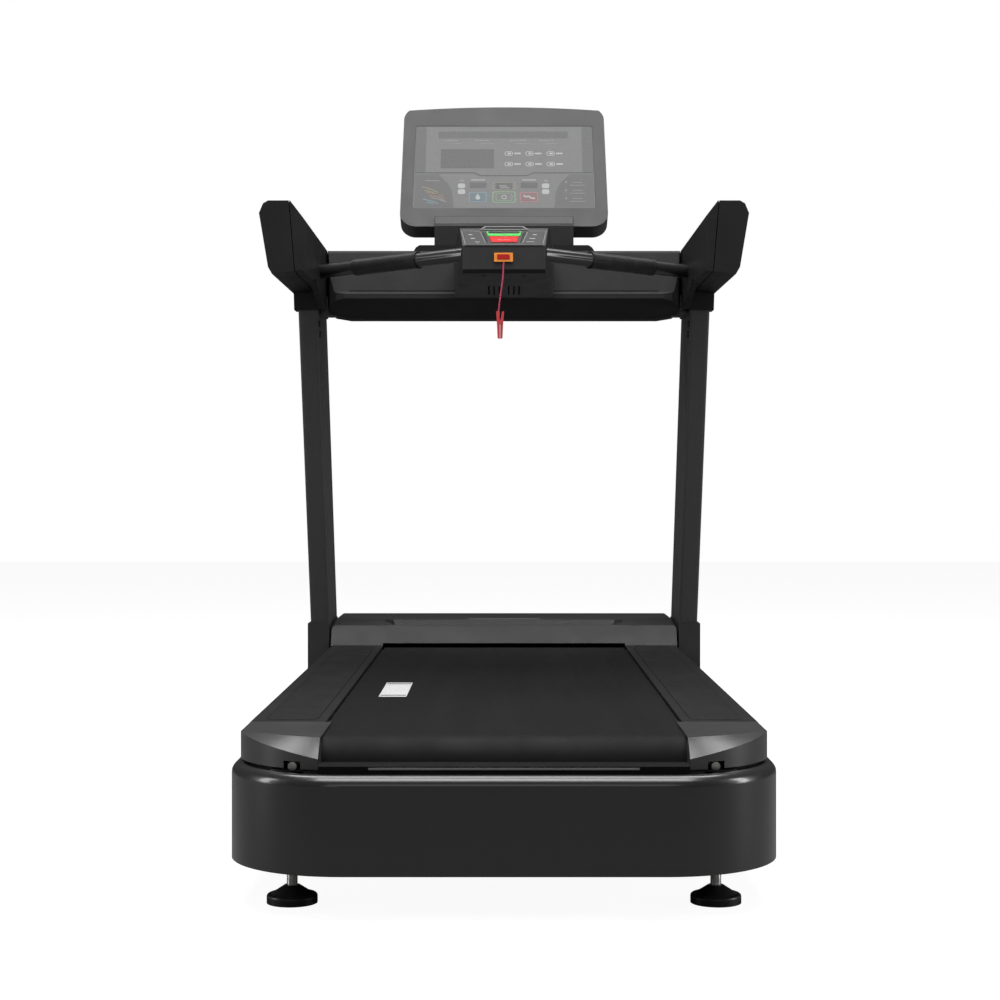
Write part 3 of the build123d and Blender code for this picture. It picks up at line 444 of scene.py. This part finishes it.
MATERIALS = {
    "frame_paint": painted("frame_paint", (0.060, 0.060, 0.062), 0.42),
    "skirt_paint": lacquered("skirt_paint", (0.0195, 0.0195, 0.02)),
    "shell_plastic": moulded("shell_plastic", (0.0098, 0.0098, 0.0102), 0.46, specular=0.26),
    "display_plastic": moulded("display_plastic", (0.062, 0.062, 0.063), 0.52, specular=0.26),
    "screen_glass": printed("screen_glass", (0.135, 0.135, 0.137), 0.42),
    "panel_film": moulded("panel_film", (0.022, 0.022, 0.023), 0.42, grain=0.0006, specular=0.35),
    "start_green": glossy("start_green", (0.10, 0.55, 0.12)),
    "stop_red": glossy("stop_red", (0.75, 0.025, 0.025)),
    "key_orange": glossy("key_orange", (0.85, 0.27, 0.01)),
    "cord_red": cord_material(),
    "clip_red": glossy("clip_red", (0.50, 0.008, 0.016)),
    "board": circuit_material(),
    "handlebar_steel": lacquered("handlebar_steel", (0.024, 0.024, 0.025)),
    "grip_rubber": rubber("grip_rubber", (0.022, 0.022, 0.023), 0.38, depth=0.00005),
    "belt_rubber": belt_material(),
    "rail_plastic": moulded("rail_plastic", (0.0095, 0.0095, 0.0098), 0.52, specular=0.27),
    "cap_gloss": moulded("cap_gloss", (0.040, 0.040, 0.041), 0.34, depth=0.00001, coat=0.25),
    "hood_plastic": moulded("hood_plastic", (0.021, 0.021, 0.022), 0.46, specular=0.42),
    "deck_wood": board_material(),
    "cushion_rubber": rubber("cushion_rubber", (0.03, 0.03, 0.03)),
    "roller_steel": metal("roller_steel", (0.55, 0.55, 0.54), 0.3, (40, 1, 1)),
    "bolt_zinc": metal("bolt_zinc", (0.66, 0.65, 0.62), 0.28),
    "bolt_black": painted("bolt_black", (0.018, 0.018, 0.019), 0.35),
    # Lighter copy of the black shell plastic: painted light on the pod housing and the foot
    # covers.
    "pod_plastic_painted_light": moulded("pod_plastic_painted_light", (0.026, 0.026, 0.0265), 0.44, specular=0.34),
    # Lighter copy of the shell plastic with little gloss: painted light that brightens the
    # dashboard cover's downward faces.
    "dash_plastic_painted_light": moulded("dash_plastic_painted_light", (0.0345, 0.0345, 0.035), 0.5, specular=0.045),
    "bumper": moulded("bumper", (0.005, 0.005, 0.005), 0.6, specular=0.1),
    "tread": tread_material(),
    "motor_case": painted("motor_case", (0.035, 0.036, 0.038), 0.5),
    "controller_alloy": metal("controller_alloy", (0.62, 0.62, 0.63), 0.4, (1, 40, 1)),
    "inlet_plastic": moulded("inlet_plastic", (0.018, 0.018, 0.018), 0.4),
    "foot_black": foot_material(),
}


# Nodes with a material of their own: a darker finish for the rear bumper, and lighter copies of
# the shell plastic, painted light, for the pod housing, the foot covers and the dashboard cover.
FINISH_AND_PAINTED_LIGHT = {"rear_bumper": "bumper", "pod_housing": "pod_plastic_painted_light",
              "dashboard_cover": "dash_plastic_painted_light",
              "foot_cover_left": "pod_plastic_painted_light", "foot_cover_right": "pod_plastic_painted_light"}


def node_slots():
    """Material slot of each CAD node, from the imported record."""
    return {part["node"]: part["material_slot"] for part in frame["record"]["subparts"]}


EDGE_ROUNDING = {               # radius, in millimetres, of each moulding's edges
    "foot_cover_left": 3, "foot_cover_right": 3,
    "wing_outer_left": 11, "wing_outer_right": 11, "wing_inner_left": 6, "wing_inner_right": 6,
    "dashboard_cover": 3, "dashboard_back": 3, "console_tray": 3, "pod_housing": 2.2,
    "display_neck": 2.5, "display_back": 3, "display_bezel": 1.5, "motor_hood": 2.5,
    "end_cap_left": 2.5, "end_cap_right": 2.5, "rear_bumper": 1.5, "start_button": 0.5,
    "stop_button": 0.5, "safety_key": 0.8, "lanyard_clip": 0.6, "clip_jaw": 0.6,
    "running_board": 1, "motor_controller": 1, "lift_motor": 1.5, "power_inlet": 0.5,
}


def soften(target, radius_mm):
    """Rounds a CAD node's sharp edges with modifiers, and shades it smoothly."""
    for polygon in target.data.polygons:
        polygon.use_smooth = True
    flat = target.modifiers.new("merge_flat_faces", "DECIMATE")
    flat.decimate_type = "DISSOLVE"
    flat.angle_limit = math.radians(0.5)
    bevel = target.modifiers.new("round_edges", "BEVEL")
    bevel.width = radius_mm * MM
    bevel.segments = 3
    bevel.limit_method = "ANGLE"
    bevel.angle_limit = math.radians(28)
    bevel.harden_normals = True


def dress_nodes():
    """Gives every CAD node its material and its rounded edges."""
    for node, slot in node_slots().items():
        target = frame["nodes"][node]
        target.data.materials.clear()
        target.data.materials.append(MATERIALS[FINISH_AND_PAINTED_LIGHT.get(node, slot)])
        radius = EDGE_ROUNDING.get(node, 0)
        if radius:
            soften(target, radius)


dress_nodes()
safety_cord.data.materials.append(MATERIALS["cord_red"])


# ---------------------------------------------------------------- piece helpers
SIDES = ((-1, "left"), (1, "right"))

# Inks for print; black also stands for painted shade in vents, grooves, seams and recesses, and
# pale and grey for painted highlights along edges.
INKS_AND_PAINTED_LIGHT = {
    "white": printed("ink_white", (0.31, 0.315, 0.315)),
    "silver": printed("ink_silver", (0.72, 0.72, 0.72), 0.3),
    "pale": printed("ink_pale_and_painted_highlight", (0.19, 0.19, 0.192)),
    "smoke": printed("ink_smoke", (0.098, 0.098, 0.10)),
    "dusk": printed("ink_dusk", (0.088, 0.088, 0.09)),
    "grey": printed("ink_grey_and_painted_highlight", (0.068, 0.068, 0.069)),
    "dark": printed("ink_dark", (0.045, 0.045, 0.046)),
    "black": printed("ink_black_and_painted_shade", (0.006, 0.006, 0.006), 0.5),
    "blue": printed("ink_blue", (0.13, 0.215, 0.26)),
    "green": printed("ink_green", (0.165, 0.235, 0.155)),
    "red": printed("ink_red", (0.32, 0.14, 0.145)),
    "blue_soft": printed("ink_blue_soft", (0.105, 0.14, 0.16)),
    "red_soft": printed("ink_red_soft", (0.17, 0.11, 0.11)),
    "olive": printed("ink_olive", (0.175, 0.175, 0.145)),
    "yellow": printed("ink_yellow", (0.22, 0.195, 0.115)),
    "orange": printed("ink_orange", (0.22, 0.15, 0.11)),
    "key_red": printed("ink_key_red", (0.45, 0.015, 0.012), 0.3),
}


def place_on(origin, up, normal):
    """Matrix of a plane: X to the user's right, Y up the plane, Z out of it."""
    up, normal = Vector(up).normalized(), Vector(normal).normalized()
    side = up.cross(normal)
    turn = Matrix((side, up, normal)).transposed().to_4x4()
    return Matrix.Translation(Vector(origin)) @ turn


def rounded(x, y, width, height, corner=1.0, steps=4):
    """Outline of a rectangle about (x, y) with rounded corners, in millimetres."""
    corner = min(corner, width / 2, height / 2)
    points = []
    for side, end, start in ((1, 1, 0), (-1, 1, 90), (-1, -1, 180), (1, -1, 270)):
        for step in range(steps + 1):
            turn = math.radians(start + 90 * step / steps)
            points.append((x + side * (width / 2 - corner) + corner * math.cos(turn),
                           y + end * (height / 2 - corner) + corner * math.sin(turn)))
    return points


def stroke(points, width):
    """Outline of a line of a given width through points, in millimetres."""
    left, right = [], []
    for index, (x, y) in enumerate(points):
        before = points[max(index - 1, 0)]
        after = points[min(index + 1, len(points) - 1)]
        along = Vector((after[0] - before[0], after[1] - before[1])).normalized()
        left.append((x - along.y * width / 2, y + along.x * width / 2))
        right.append((x + along.y * width / 2, y - along.x * width / 2))
    return right + left[::-1]


def ring(outline, inset):
    """An outline and the one inset from it: together, a closed band."""
    cx = sum(x for x, y in outline) / len(outline)
    cy = sum(y for x, y in outline) / len(outline)
    width = max(x for x, y in outline) - min(x for x, y in outline)
    height = max(y for x, y in outline) - min(y for x, y in outline)
    inner = [(cx + (x - cx) * (1 - 2 * inset / width), cy + (y - cy) * (1 - 2 * inset / height))
             for x, y in outline]
    return outline, inner


def flat_mesh(place, outlines, low, high):
    """Vertices and faces of plates between two heights off a plane, in millimetres."""
    verts, faces = [], []
    for outline in outlines:
        base = len(verts)
        hollow = isinstance(outline, tuple)
        loops = outline if hollow else (outline,)
        count = len(loops[0])
        for loop in loops:
            for z in (low, high):
                verts += [place @ Vector((x * MM, y * MM, z * MM)) for x, y in loop]
        ids = [[base + block * count + i for i in range(count)] for block in range(2 * len(loops))]
        around = [(i, (i + 1) % count) for i in range(count)]
        faces += [(ids[0][i], ids[0][j], ids[1][j], ids[1][i]) for i, j in around]
        if hollow:
            faces += [(ids[2][j], ids[2][i], ids[3][i], ids[3][j]) for i, j in around]
            faces += [(ids[1][i], ids[1][j], ids[3][j], ids[3][i]) for i, j in around]
            faces += [(ids[0][j], ids[0][i], ids[2][i], ids[2][j]) for i, j in around]
        else:
            faces += [tuple(reversed(ids[0])), tuple(ids[1])]
    return verts, faces


def add_piece(name, verts, faces, material, slot, body, round_mm=0.0, smooth=False):
    """New piece that rides on a body, with its material and rounded edges."""
    mesh = bpy.data.meshes.new(name)
    mesh.from_pydata(verts, [], faces)
    mesh.materials.append(material)
    for polygon in mesh.polygons:
        polygon.use_smooth = smooth or round_mm > 0
    item = bpy.data.objects.new(name, mesh)
    bpy.context.scene.collection.objects.link(item)
    if round_mm:
        bevel = item.modifiers.new("round_edges", "BEVEL")
        bevel.width = round_mm * MM
        bevel.segments = 2
        bevel.limit_method = "ANGLE"
        bevel.angle_limit = math.radians(35)
        bevel.harden_normals = True
    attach(item, body)
    return item


def add_flat_marks(name, place, outlines, ink, slot, body="base", high=0.3, low=-0.1):
    """One ink's marks on a plane: print, and also marks of painted shade and painted highlight."""
    return add_piece(name, *flat_mesh(place, outlines, low, high), INKS_AND_PAINTED_LIGHT[ink], slot, body)


# ---------------------------------------------------------------- display
LEAN = math.radians(26)         # the display's lean from upright
FRAME_FRONT = 6.0               # depth of the display's front frame
SCREEN_DROP = -1.0              # the screen lies this far behind the frame's face
DISPLAY_DEPTH = 46.4            # from the frame's face to the rear shell
INK_LAYER = 0.12                # each layer of print stands this much over the one under it


def display_place():
    """Plane of the display's face, from the frame's lower front edge."""
    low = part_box("display_bezel")[0]
    foot = (0, low[1], low[2] + FRAME_FRONT * MM * math.sin(LEAN))
    return place_on(foot, (0, math.sin(LEAN), math.cos(LEAN)),
                    (0, -math.cos(LEAN), math.sin(LEAN)))


def display_print():
    """Print on the screen: fields, windows, key pairs and blank tick marks, no lettering."""
    place = display_place()
    half, low, high, split = 204.0, 50.5, 276.0, 146.3

    def prints(name, outlines, ink, layer=1):
        lift = SCREEN_DROP + INK_LAYER * layer
        add_flat_marks("screen_" + name, place, outlines, ink, "screen_glass", "base",
                   high=lift, low=SCREEN_DROP - 0.1)

    edge = 25.0
    prints("side_fields", [rounded(side * (half - edge / 2), (split + high) / 2, edge,
                                   high - split - 2, 3) for side in (-1, 1)], "smoke")
    corner = [(-half, low + 1), (-half, split - 4), (-150, split - 4), (-128, 118),
              (-118, 95), (-114, low + 1)]
    left_field = corner[::-1]
    right_field = [(-x, y) for x, y in corner]
    prints("lower_fields", [left_field, right_field], "smoke")
    prints("light_bar", [rounded(-2, 252.5, 298, 19, 3)], "smoke")
    prints("window", [rounded(-84, 185.5, 122, 53, 2)], "dusk")
    dip = [(-half, split), (-68, split), (-54, 138.3), (53, 138.3), (67, split), (half, split)]
    prints("divider", [stroke(dip, 1.8)], "dark", 2)

    ticks, captions = [], []
    for x, wide in ((-123, 34), (-51, 34), (32, 40), (98, 34)):
        captions.append(rounded(x, 236.5, wide, 2.0, 1))
        captions.append(rounded(x + 12, 228, wide * 0.8, 1.4, 0.7))
    for row in (200, 170.5):
        for column in (11, 58.5, 107):
            ticks.append(ring(rounded(column, row, 19, 12, 5), 1.6))
            ticks.append(rounded(column + 1, row, 9, 5, 2.5))
            ticks.append(rounded(column + 20, row, 16, 4.4, 2))
    for side in (-1, 1):
        for v in (110.5, 94.5):
            ticks.append(rounded(side * 95.6 - 1, v, 16.5, 13, 4))
        ticks.append(rounded(side * 58 - 1, 126.5, 32, 2.4, 1.2))
        captions.append(rounded(side * 95.6, 124.5, 11, 5, 2.4))
    for v in (120, 112, 98, 90, 76, 68):
        captions.append(rounded(167, v, 34 if v in (112, 90, 68) else 22, 1.6, 0.8))
    for v in (121, 98, 76):
        captions.append(rounded(141, v, 4.4, 4.4, 2.2))
    captions.append(rounded(-163, 124.5, 32, 2, 1))
    prints("ticks", ticks, "white", 2)
    prints("captions", captions, "pale", 2)

    prints("small_windows", [rounded(-59, 112, 38, 15, 2), rounded(57, 112, 38, 15, 2),
                             rounded(0, 110, 38, 16, 2)], "dusk", 2)
    prints("olive_frame", [ring(rounded(0, 109.5, 52, 22, 3), 2.4)], "olive", 3)
    prints("green_frame", [ring(rounded(0, 79.5, 54, 32, 6), 3.2),
                           ring(rounded(0, 79.5, 38, 20, 4), 1.6)], "green", 3)
    for ink, x, wide in (("blue", -59.5, 40), ("red", 57, 42)):
        prints(ink + "_key", [ring(rounded(x, 79.4, wide, 27, 3), 2.0)], ink, 2)
        prints(ink + "_key_face", [rounded(x, 79.4, wide - 8, 19, 2)], ink + "_soft", 2)
    drop = [(-59.5 + 5.2 * math.sin(math.radians(a)),
             77.5 - 5.2 * math.cos(math.radians(a))) for a in range(-120, 121, 24)]
    prints("key_marks", [drop + [(-59.5, 90)],
                         stroke([(44, 84), (50, 80), (56, 82), (61, 77), (70, 76)], 4.0),
                         ring(rounded(0, 79.5, 12, 12, 6), 1.8),
                         rounded(-2, 110, 18, 1.6, 0.8), rounded(2, 105, 22, 1.4, 0.7)],
           "white", 4)
    rays = {"yellow": ((-186, 108, -150, 92), (-180, 98, -146, 84)),
            "orange": ((-176, 92, -138, 82), (-170, 84, -134, 74)),
            "blue": ((-184, 74, -150, 62), (-176, 66, -160, 60)),
            "pale": ((-150, 74, -130, 66), (-166, 78, -136, 68))}
    for ink, lines in rays.items():
        prints("diagram_" + ink, [stroke([(x0, y0), ((x0 + x1) / 2, (y0 + y1) / 2 + 2), (x1, y1)],
                                         2.2) for x0, y0, x1, y1 in lines], ink, 2)


def display_back_details():
    """Screws and a vent field on the display's rear; the vents are black slots of painted shade.
    """
    place = display_place()
    back = (place @ Matrix.Translation((0, 0, -DISPLAY_DEPTH * MM))
            @ Matrix.Rotation(math.pi, 4, "Y"))
    for index, (x, v) in enumerate([(s * 190, t) for s in (-1, 1) for t in (60, 170, 280)]):
        add_screw(f"display_screw_{index + 1}", back, x, v, 4.2, "display_plastic")
    # Black slots stand in for the vents' openings: painted shade.
    vent_shades = [rounded(x, 262, 3.2, 26, 1.6) for x in range(-90, 91, 9)]
    add_flat_marks("display_vent_shades", back, vent_shades, "black", "display_plastic", high=0.25)


def add_screw(name, place, x, y, radius, slot, body="base"):
    """Low round screw head with a round socket."""
    rings = [(radius, 0.0), (radius, 0.9), (radius * 0.86, 1.3), (radius * 0.52, 1.3),
             (radius * 0.50, 0.2)]
    steps = 18
    verts, faces = [], []
    for size, z in rings:
        for step in range(steps):
            turn = 2 * math.pi * step / steps
            verts.append(place @ Vector(((x + size * math.cos(turn)) * MM,
                                         (y + size * math.sin(turn)) * MM, z * MM)))
    for level in range(len(rings) - 1):
        for step in range(steps):
            after = (step + 1) % steps
            faces.append((level * steps + step, level * steps + after,
                          (level + 1) * steps + after, (level + 1) * steps + step))
    faces.append(tuple(range((len(rings) - 1) * steps, len(rings) * steps)))
    faces.append(tuple(reversed(range(steps))))
    return add_piece(name, verts, faces, MATERIALS["bolt_black"], slot, body, 0, True)


# ---------------------------------------------------------------- console pod
PANEL_TILT = math.atan2(47, 90)     # the key panel's rise over its run
PANEL_THICK = 3.0
LEGEND_LOW, LEGEND_HIGH = 1.4, 1.85     # the key legends' underside and top, over the panel
POD_UNDERSIDE = ((0, 0.096, 1.0680), (0, 248, -23), (0, -23, -248))     # a point, up, outwards


def panel_place():
    """Plane of the key panel's face, from its lower front edge."""
    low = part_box("pod_panel")[0]
    foot = (0, low[1], low[2] + PANEL_THICK * MM * math.cos(PANEL_TILT))
    up = (0, math.cos(PANEL_TILT), math.sin(PANEL_TILT))
    return place_on(foot, up, (0, -math.sin(PANEL_TILT), math.cos(PANEL_TILT)))


def pod_details():
    """Painted highlights along the key panel's front edge, sides and top, painted shade in the
    recesses beside its keys, key marks and blank legends of the key panel, and what is on the
    pod's front.
    """
    place = panel_place()
    # Grey bar along the pod's front edge: a painted highlight.
    front_highlight = [[(-79, -6.5), (79, -6.5), (79, -2.0), (-79, -2.0)]]
    add_piece("pod_front_painted_highlight", *flat_mesh(place, front_highlight, -2.0, 0.9), INKS_AND_PAINTED_LIGHT["grey"],
              "panel_film", "base", 0.8)
    # Pale lines along the panel's sides and top: painted highlights on its edges.
    edge_highlights = [stroke([(side * 78.5, -2.0), (side * 87.0, 74.0)], 1.8) for side in (-1, 1)]
    edge_highlights.append(rounded(0, 75.5, 176, 2.4, 1.2))
    add_flat_marks("panel_edge_highlights", place, edge_highlights, "pale", "panel_film", high=0.5)
    # Black strips in the panel's recesses: painted shade.
    recess_shade = [[(side * 32, 9), (side * 36, 9), (side * 47, 70), (side * 40, 70)]
              for side in (-1, 1)]
    add_flat_marks("panel_recess_shade", place, recess_shade, "black", "panel_film", high=0.15)
    add_flat_marks("panel_dividers", place,
               [stroke([(side * 37, 6), (side * 48.5, 71)], 1.6) for side in (-1, 1)],
               "pale", "panel_film", high=0.4)
    marks = [rounded(-69, 55, 9, 5, 2.4), rounded(-63.5, 33, 9, 5, 2.4),
             rounded(-57, 14, 4, 3, 1.5), rounded(-51, 14, 4, 3, 1.5), rounded(-54, 7, 4, 3, 1.5),
             rounded(63, 55, 9, 5, 2.4), rounded(58, 33, 12, 4, 2), rounded(54, 14, 16, 2.4, 1.2)]
    add_flat_marks("panel_marks", place, marks, "white", "panel_film", high=0.4)

    ledge = [(-50, 78), (50, 78), (41, 98), (-41, 98)]
    band = ring(ledge, 4.0)
    add_piece("pod_ledge", *flat_mesh(place, [band], -1.0, 3.2), INKS_AND_PAINTED_LIGHT["pale"], "panel_film",
              "base", 0.8)
    add_flat_marks("ledge_mark", place, [rounded(-1, 83, 14, 4, 2)], "blue", "panel_film", high=0.6)

    key_low, key_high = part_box("safety_key")
    front = place_on((0, key_low[1], 0), (0, 0, 1), (0, -1, 0))
    middle = (key_low[2] + key_high[2]) / 2 / MM
    add_piece("key_pad", *flat_mesh(front, [rounded(-1, middle + 0.6, 26, 10.5, 1.6)], -0.3, 1.0),
              INKS_AND_PAINTED_LIGHT["key_red"], "key_orange", "safety_key", 0.4)
    under = place_on(*POD_UNDERSIDE)
    for side, name in SIDES:
        add_screw("pod_plug_" + name, under, side * 41, 0, 4.0, "shell_plastic")


def button_details():
    """Blank legend plates on the start and stop keys, and the start key's arrow."""
    place = panel_place()
    add_flat_marks("start_legend", place, [rounded(0, 64.5, 64, 11, 1.5)], "black", "start_green",
               "start_button", high=LEGEND_HIGH, low=LEGEND_LOW)
    arrow = [(-3.2, 52), (3.2, 52), (0, 60)]
    add_flat_marks("start_arrow", place, [arrow], "green", "start_green", "start_button",
               high=2.0, low=LEGEND_LOW)
    add_flat_marks("stop_legend", place, [rounded(0, 21, 26, 2.4, 1.2)], "pale", "stop_red",
               "stop_button", high=LEGEND_HIGH, low=LEGEND_LOW)


# ---------------------------------------------------------------- deck
def top_plane(node):
    """Level plane on a node's top, with X to the right and Y forward."""
    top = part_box(node)[1][2]
    return Matrix.Translation((0, 0, top))


def rail_treads():
    """Non-slip insert on each foot rail, in a narrow groove; the groove's black ring and the black
    lines across the rail's ends are painted shade.
    """
    for side, name in SIDES:
        low, high = (Vector(corner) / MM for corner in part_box("side_rail_" + name))
        middle = (low + high) / 2
        width, length = high.x - low.x - 36, high.y - low.y - 46
        place = top_plane("side_rail_" + name)
        groove = ring(rounded(middle.x - 4 * side, middle.y, width, length, 16), 2.2)
        # Black ring in the groove: painted shade.
        add_flat_marks("rail_groove_shade_" + name, place, [groove], "black", "rail_plastic", "deck",
                   high=0.12)
        add_piece("rail_tread_" + name, *flat_mesh(place, [groove[1]], -0.2, 0.7),
                  MATERIALS["tread"], "rail_plastic", "deck", 0.4)
        # Black lines at the rail's ends: painted shade in the seams.
        seam_shades = [rounded(middle.x, end, width + 22, 1.2, 0.6) for end in (low.y + 14, high.y - 10)]
        add_flat_marks("rail_seam_shades_" + name, place, seam_shades, "black", "rail_plastic", "deck", high=0.12)


def belt_label():
    """Blank plate bonded to the belt, with a dark band near each end."""
    place = top_plane("running_belt")
    x, y, width, length, band = -201, -243, 50, 242, 22
    add_flat_marks("belt_label", place, [rounded(x, y, width, length, 2)], "silver", "belt_rubber",
               "deck", high=0.25)
    bands = [rounded(x, y + end * (length / 2 - band), width - 4, band * 0.5, 0.5)
             for end in (-1, 1)]
    add_flat_marks("belt_label_bands", place, bands, "dark", "belt_rubber", "deck", high=0.4)


def bumper_painted_highlight():
    """Pale strip across the rear bumper: a painted highlight below its top edge."""
    low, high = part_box("rear_bumper")
    place = place_on((0, low[1], high[2] - 7.5 * MM), (0, 0, 1), (0, -1, 0))
    # Pale strip: a painted highlight along the bumper's top edge.
    add_piece("bumper_painted_highlight", *flat_mesh(place, [rounded(0, 0, 400, 3.4, 1.2)], -0.3, 0.6),
              INKS_AND_PAINTED_LIGHT["pale"], "rail_plastic", "deck", 0.4)


def hood_details():
    """Blank plate, vents and screws on the motor hood; the vents are black slots of painted shade.
    """
    add_flat_marks("hood_plate", top_plane("motor_hood"), [rounded(0, 729, 172, 16, 3)], "pale",
               "hood_plastic", "deck", high=0.4)
    # Each vent is a black slot: painted shade in its opening.
    for index, x in enumerate(range(-150, 151, 12)):
        place = face_place("motor_hood", (x, 1000, 303), (0, -1, 0))
        add_flat_marks(f"hood_vent_shade_{index + 1}", place, [rounded(0, 0, 5, 24, 2.5)], "black",
                   "hood_plastic", "deck", high=0.2)
    for side, name in SIDES:
        for y in (740, 940):
            place = face_place("motor_hood", (side * 500, y, 290), (-side, 0, 0))
            add_screw(f"hood_screw_{name}_{y}", place, 0, 0, 5.5, "hood_plastic", "deck")


# ---------------------------------------------------------------- frame, skirt, mast
SURFACES = {}


def face_place(node, start, direction):
    """Plane where a ray, in millimetres, meets a CAD node: Y points up, Z out of the face."""
    if node not in SURFACES:
        mesh = frame["nodes"][node].data
        SURFACES[node] = BVHTree.FromPolygons([v.co for v in mesh.vertices],
                                              [p.vertices for p in mesh.polygons])
    at, normal, _, _ = SURFACES[node].ray_cast(Vector(start) * MM, Vector(direction))
    if normal.dot(Vector(direction)) > 0:
        normal.negate()
    level = Vector((0, 0, 1)) if abs(normal.z) < 0.9 else Vector((0, 1, 0))
    up = level - normal * level.dot(normal)
    return place_on(at, up, normal)


def neck_trim():
    """Grey trim along the neck's lip, over the display's lower edge."""
    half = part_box("display_neck")[1][0] / MM
    place = display_place() @ Matrix.Translation((0, 0, 8.0 * MM))
    add_piece("neck_trim", *flat_mesh(place, [rounded(0, 11.2, 2 * half - 3, 19, 2)], -0.3, 0.5),
              INKS_AND_PAINTED_LIGHT["grey"], "shell_plastic", "base", 0.4)


def foot_threads():
    """Thread on each levelling foot's stud: one helix below the lock nut and one above it."""
    crest, root, pitch, steps = 8.55, 7.9, 1.75, 20
    for foot in ("foot_rear_left", "foot_rear_right", "foot_front_left", "foot_front_right"):
        low, high = (Vector(corner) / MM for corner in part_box(foot))
        x, y = (low.x + high.x) / 2, (low.y + high.y) / 2
        verts, faces = [], []
        for start, stop in ((27.5, 43.5), (56.5, 69.5)):
            turns = int((stop - start) / pitch)
            base = len(verts)
            for step in range(turns * steps + 1):
                turn = 2 * math.pi * step / steps
                z = start + pitch * step / steps
                for radius, rise in ((root, 0), (crest, pitch * 0.45), (root, pitch * 0.9)):
                    verts.append(Vector((x + radius * math.cos(turn), y + radius * math.sin(turn),
                                         z + rise)) * MM)
            for step in range(turns * steps):
                a = base + step * 3
                faces += [(a, a + 3, a + 4, a + 1), (a + 1, a + 4, a + 5, a + 2)]
        add_piece("thread_" + foot, verts, faces, MATERIALS["bolt_zinc"], "foot_black", foot, 0,
                  True)


def skirt_screws():
    """Screws along the skirt's sides and on its front face."""
    for side, name in SIDES:
        for index, y in enumerate((-560, 0, 560)):
            place = face_place("skirt_rear", (side * 900, y, 92), (-side, 0, 0))
            add_screw(f"skirt_screw_{name}_{index + 1}", place, 0, 0, 5, "skirt_paint")
    for index, x in enumerate((-345, 345)):
        place = face_place("skirt_front", (x, 1400, 92), (0, -1, 0))
        add_screw(f"skirt_screw_front_{index + 1}", place, 0, 0, 5, "skirt_paint")


def mast_screws():
    """Screws on the foot covers, the wings and the dashboard's back."""
    for side, name in SIDES:
        for index, (y, z) in enumerate(((720, 290), (880, 290), (940, 110))):
            place = face_place("foot_cover_" + name, (side * 900, y, z), (-side, 0, 0))
            add_screw(f"cover_screw_{name}_{index + 1}", place, 0, 0, 5, "shell_plastic")
        for index, (y, z) in enumerate(((60, 1130), (230, 1120), (420, 1080), (560, 1120))):
            place = face_place("wing_outer_" + name, (side * 900, y, z), (-side, 0, 0))
            add_screw(f"wing_screw_{name}_{index + 1}", place, 0, 0, 5, "shell_plastic")
        for index, (x, z) in enumerate(((90, 1060), (240, 1060), (360, 1060), (360, 1100))):
            place = face_place("dashboard_back", (side * x, 900, z), (0, -1, 0))
            add_screw(f"dash_screw_{name}_{index + 1}", place, 0, 0, 4.5, "shell_plastic")


def back_vent_shades():
    """Vent slots low on the dashboard's back, drawn black as painted shade."""
    # Black slots: painted shade in the vents' openings.
    for row, z in enumerate((1078, 1092)):
        for index, x in enumerate(range(-66, 67, 22)):
            place = face_place("dashboard_back", (x, 900, z), (0, -1, 0))
            add_flat_marks(f"dash_vent_shade_{row + 1}_{index + 1}", place, [rounded(0, 0, 17, 4, 2)],
                       "black", "shell_plastic", high=0.2)


def tray_mat():
    """Ribbed rubber mat on the console tray, in front of the display's neck."""
    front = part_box("console_tray")[0][1] / MM
    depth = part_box("display_neck")[0][1] / MM - front - 8
    place = top_plane("console_tray")
    rows = 6
    ribs = [rounded(0, front + 6 + depth * (row + 0.5) / rows, 340, 1.8, 0.9)
            for row in range(rows)]
    add_piece("tray_mat", *flat_mesh(place, ribs, -0.2, 0.8), MATERIALS["grip_rubber"],
              "shell_plastic", "base", 0.3)


display_print()
display_back_details()
pod_details()
button_details()
rail_treads()
belt_label()
bumper_painted_highlight()
hood_details()
neck_trim()
foot_threads()
skirt_screws()
mast_screws()
back_vent_shades()
tray_mat()
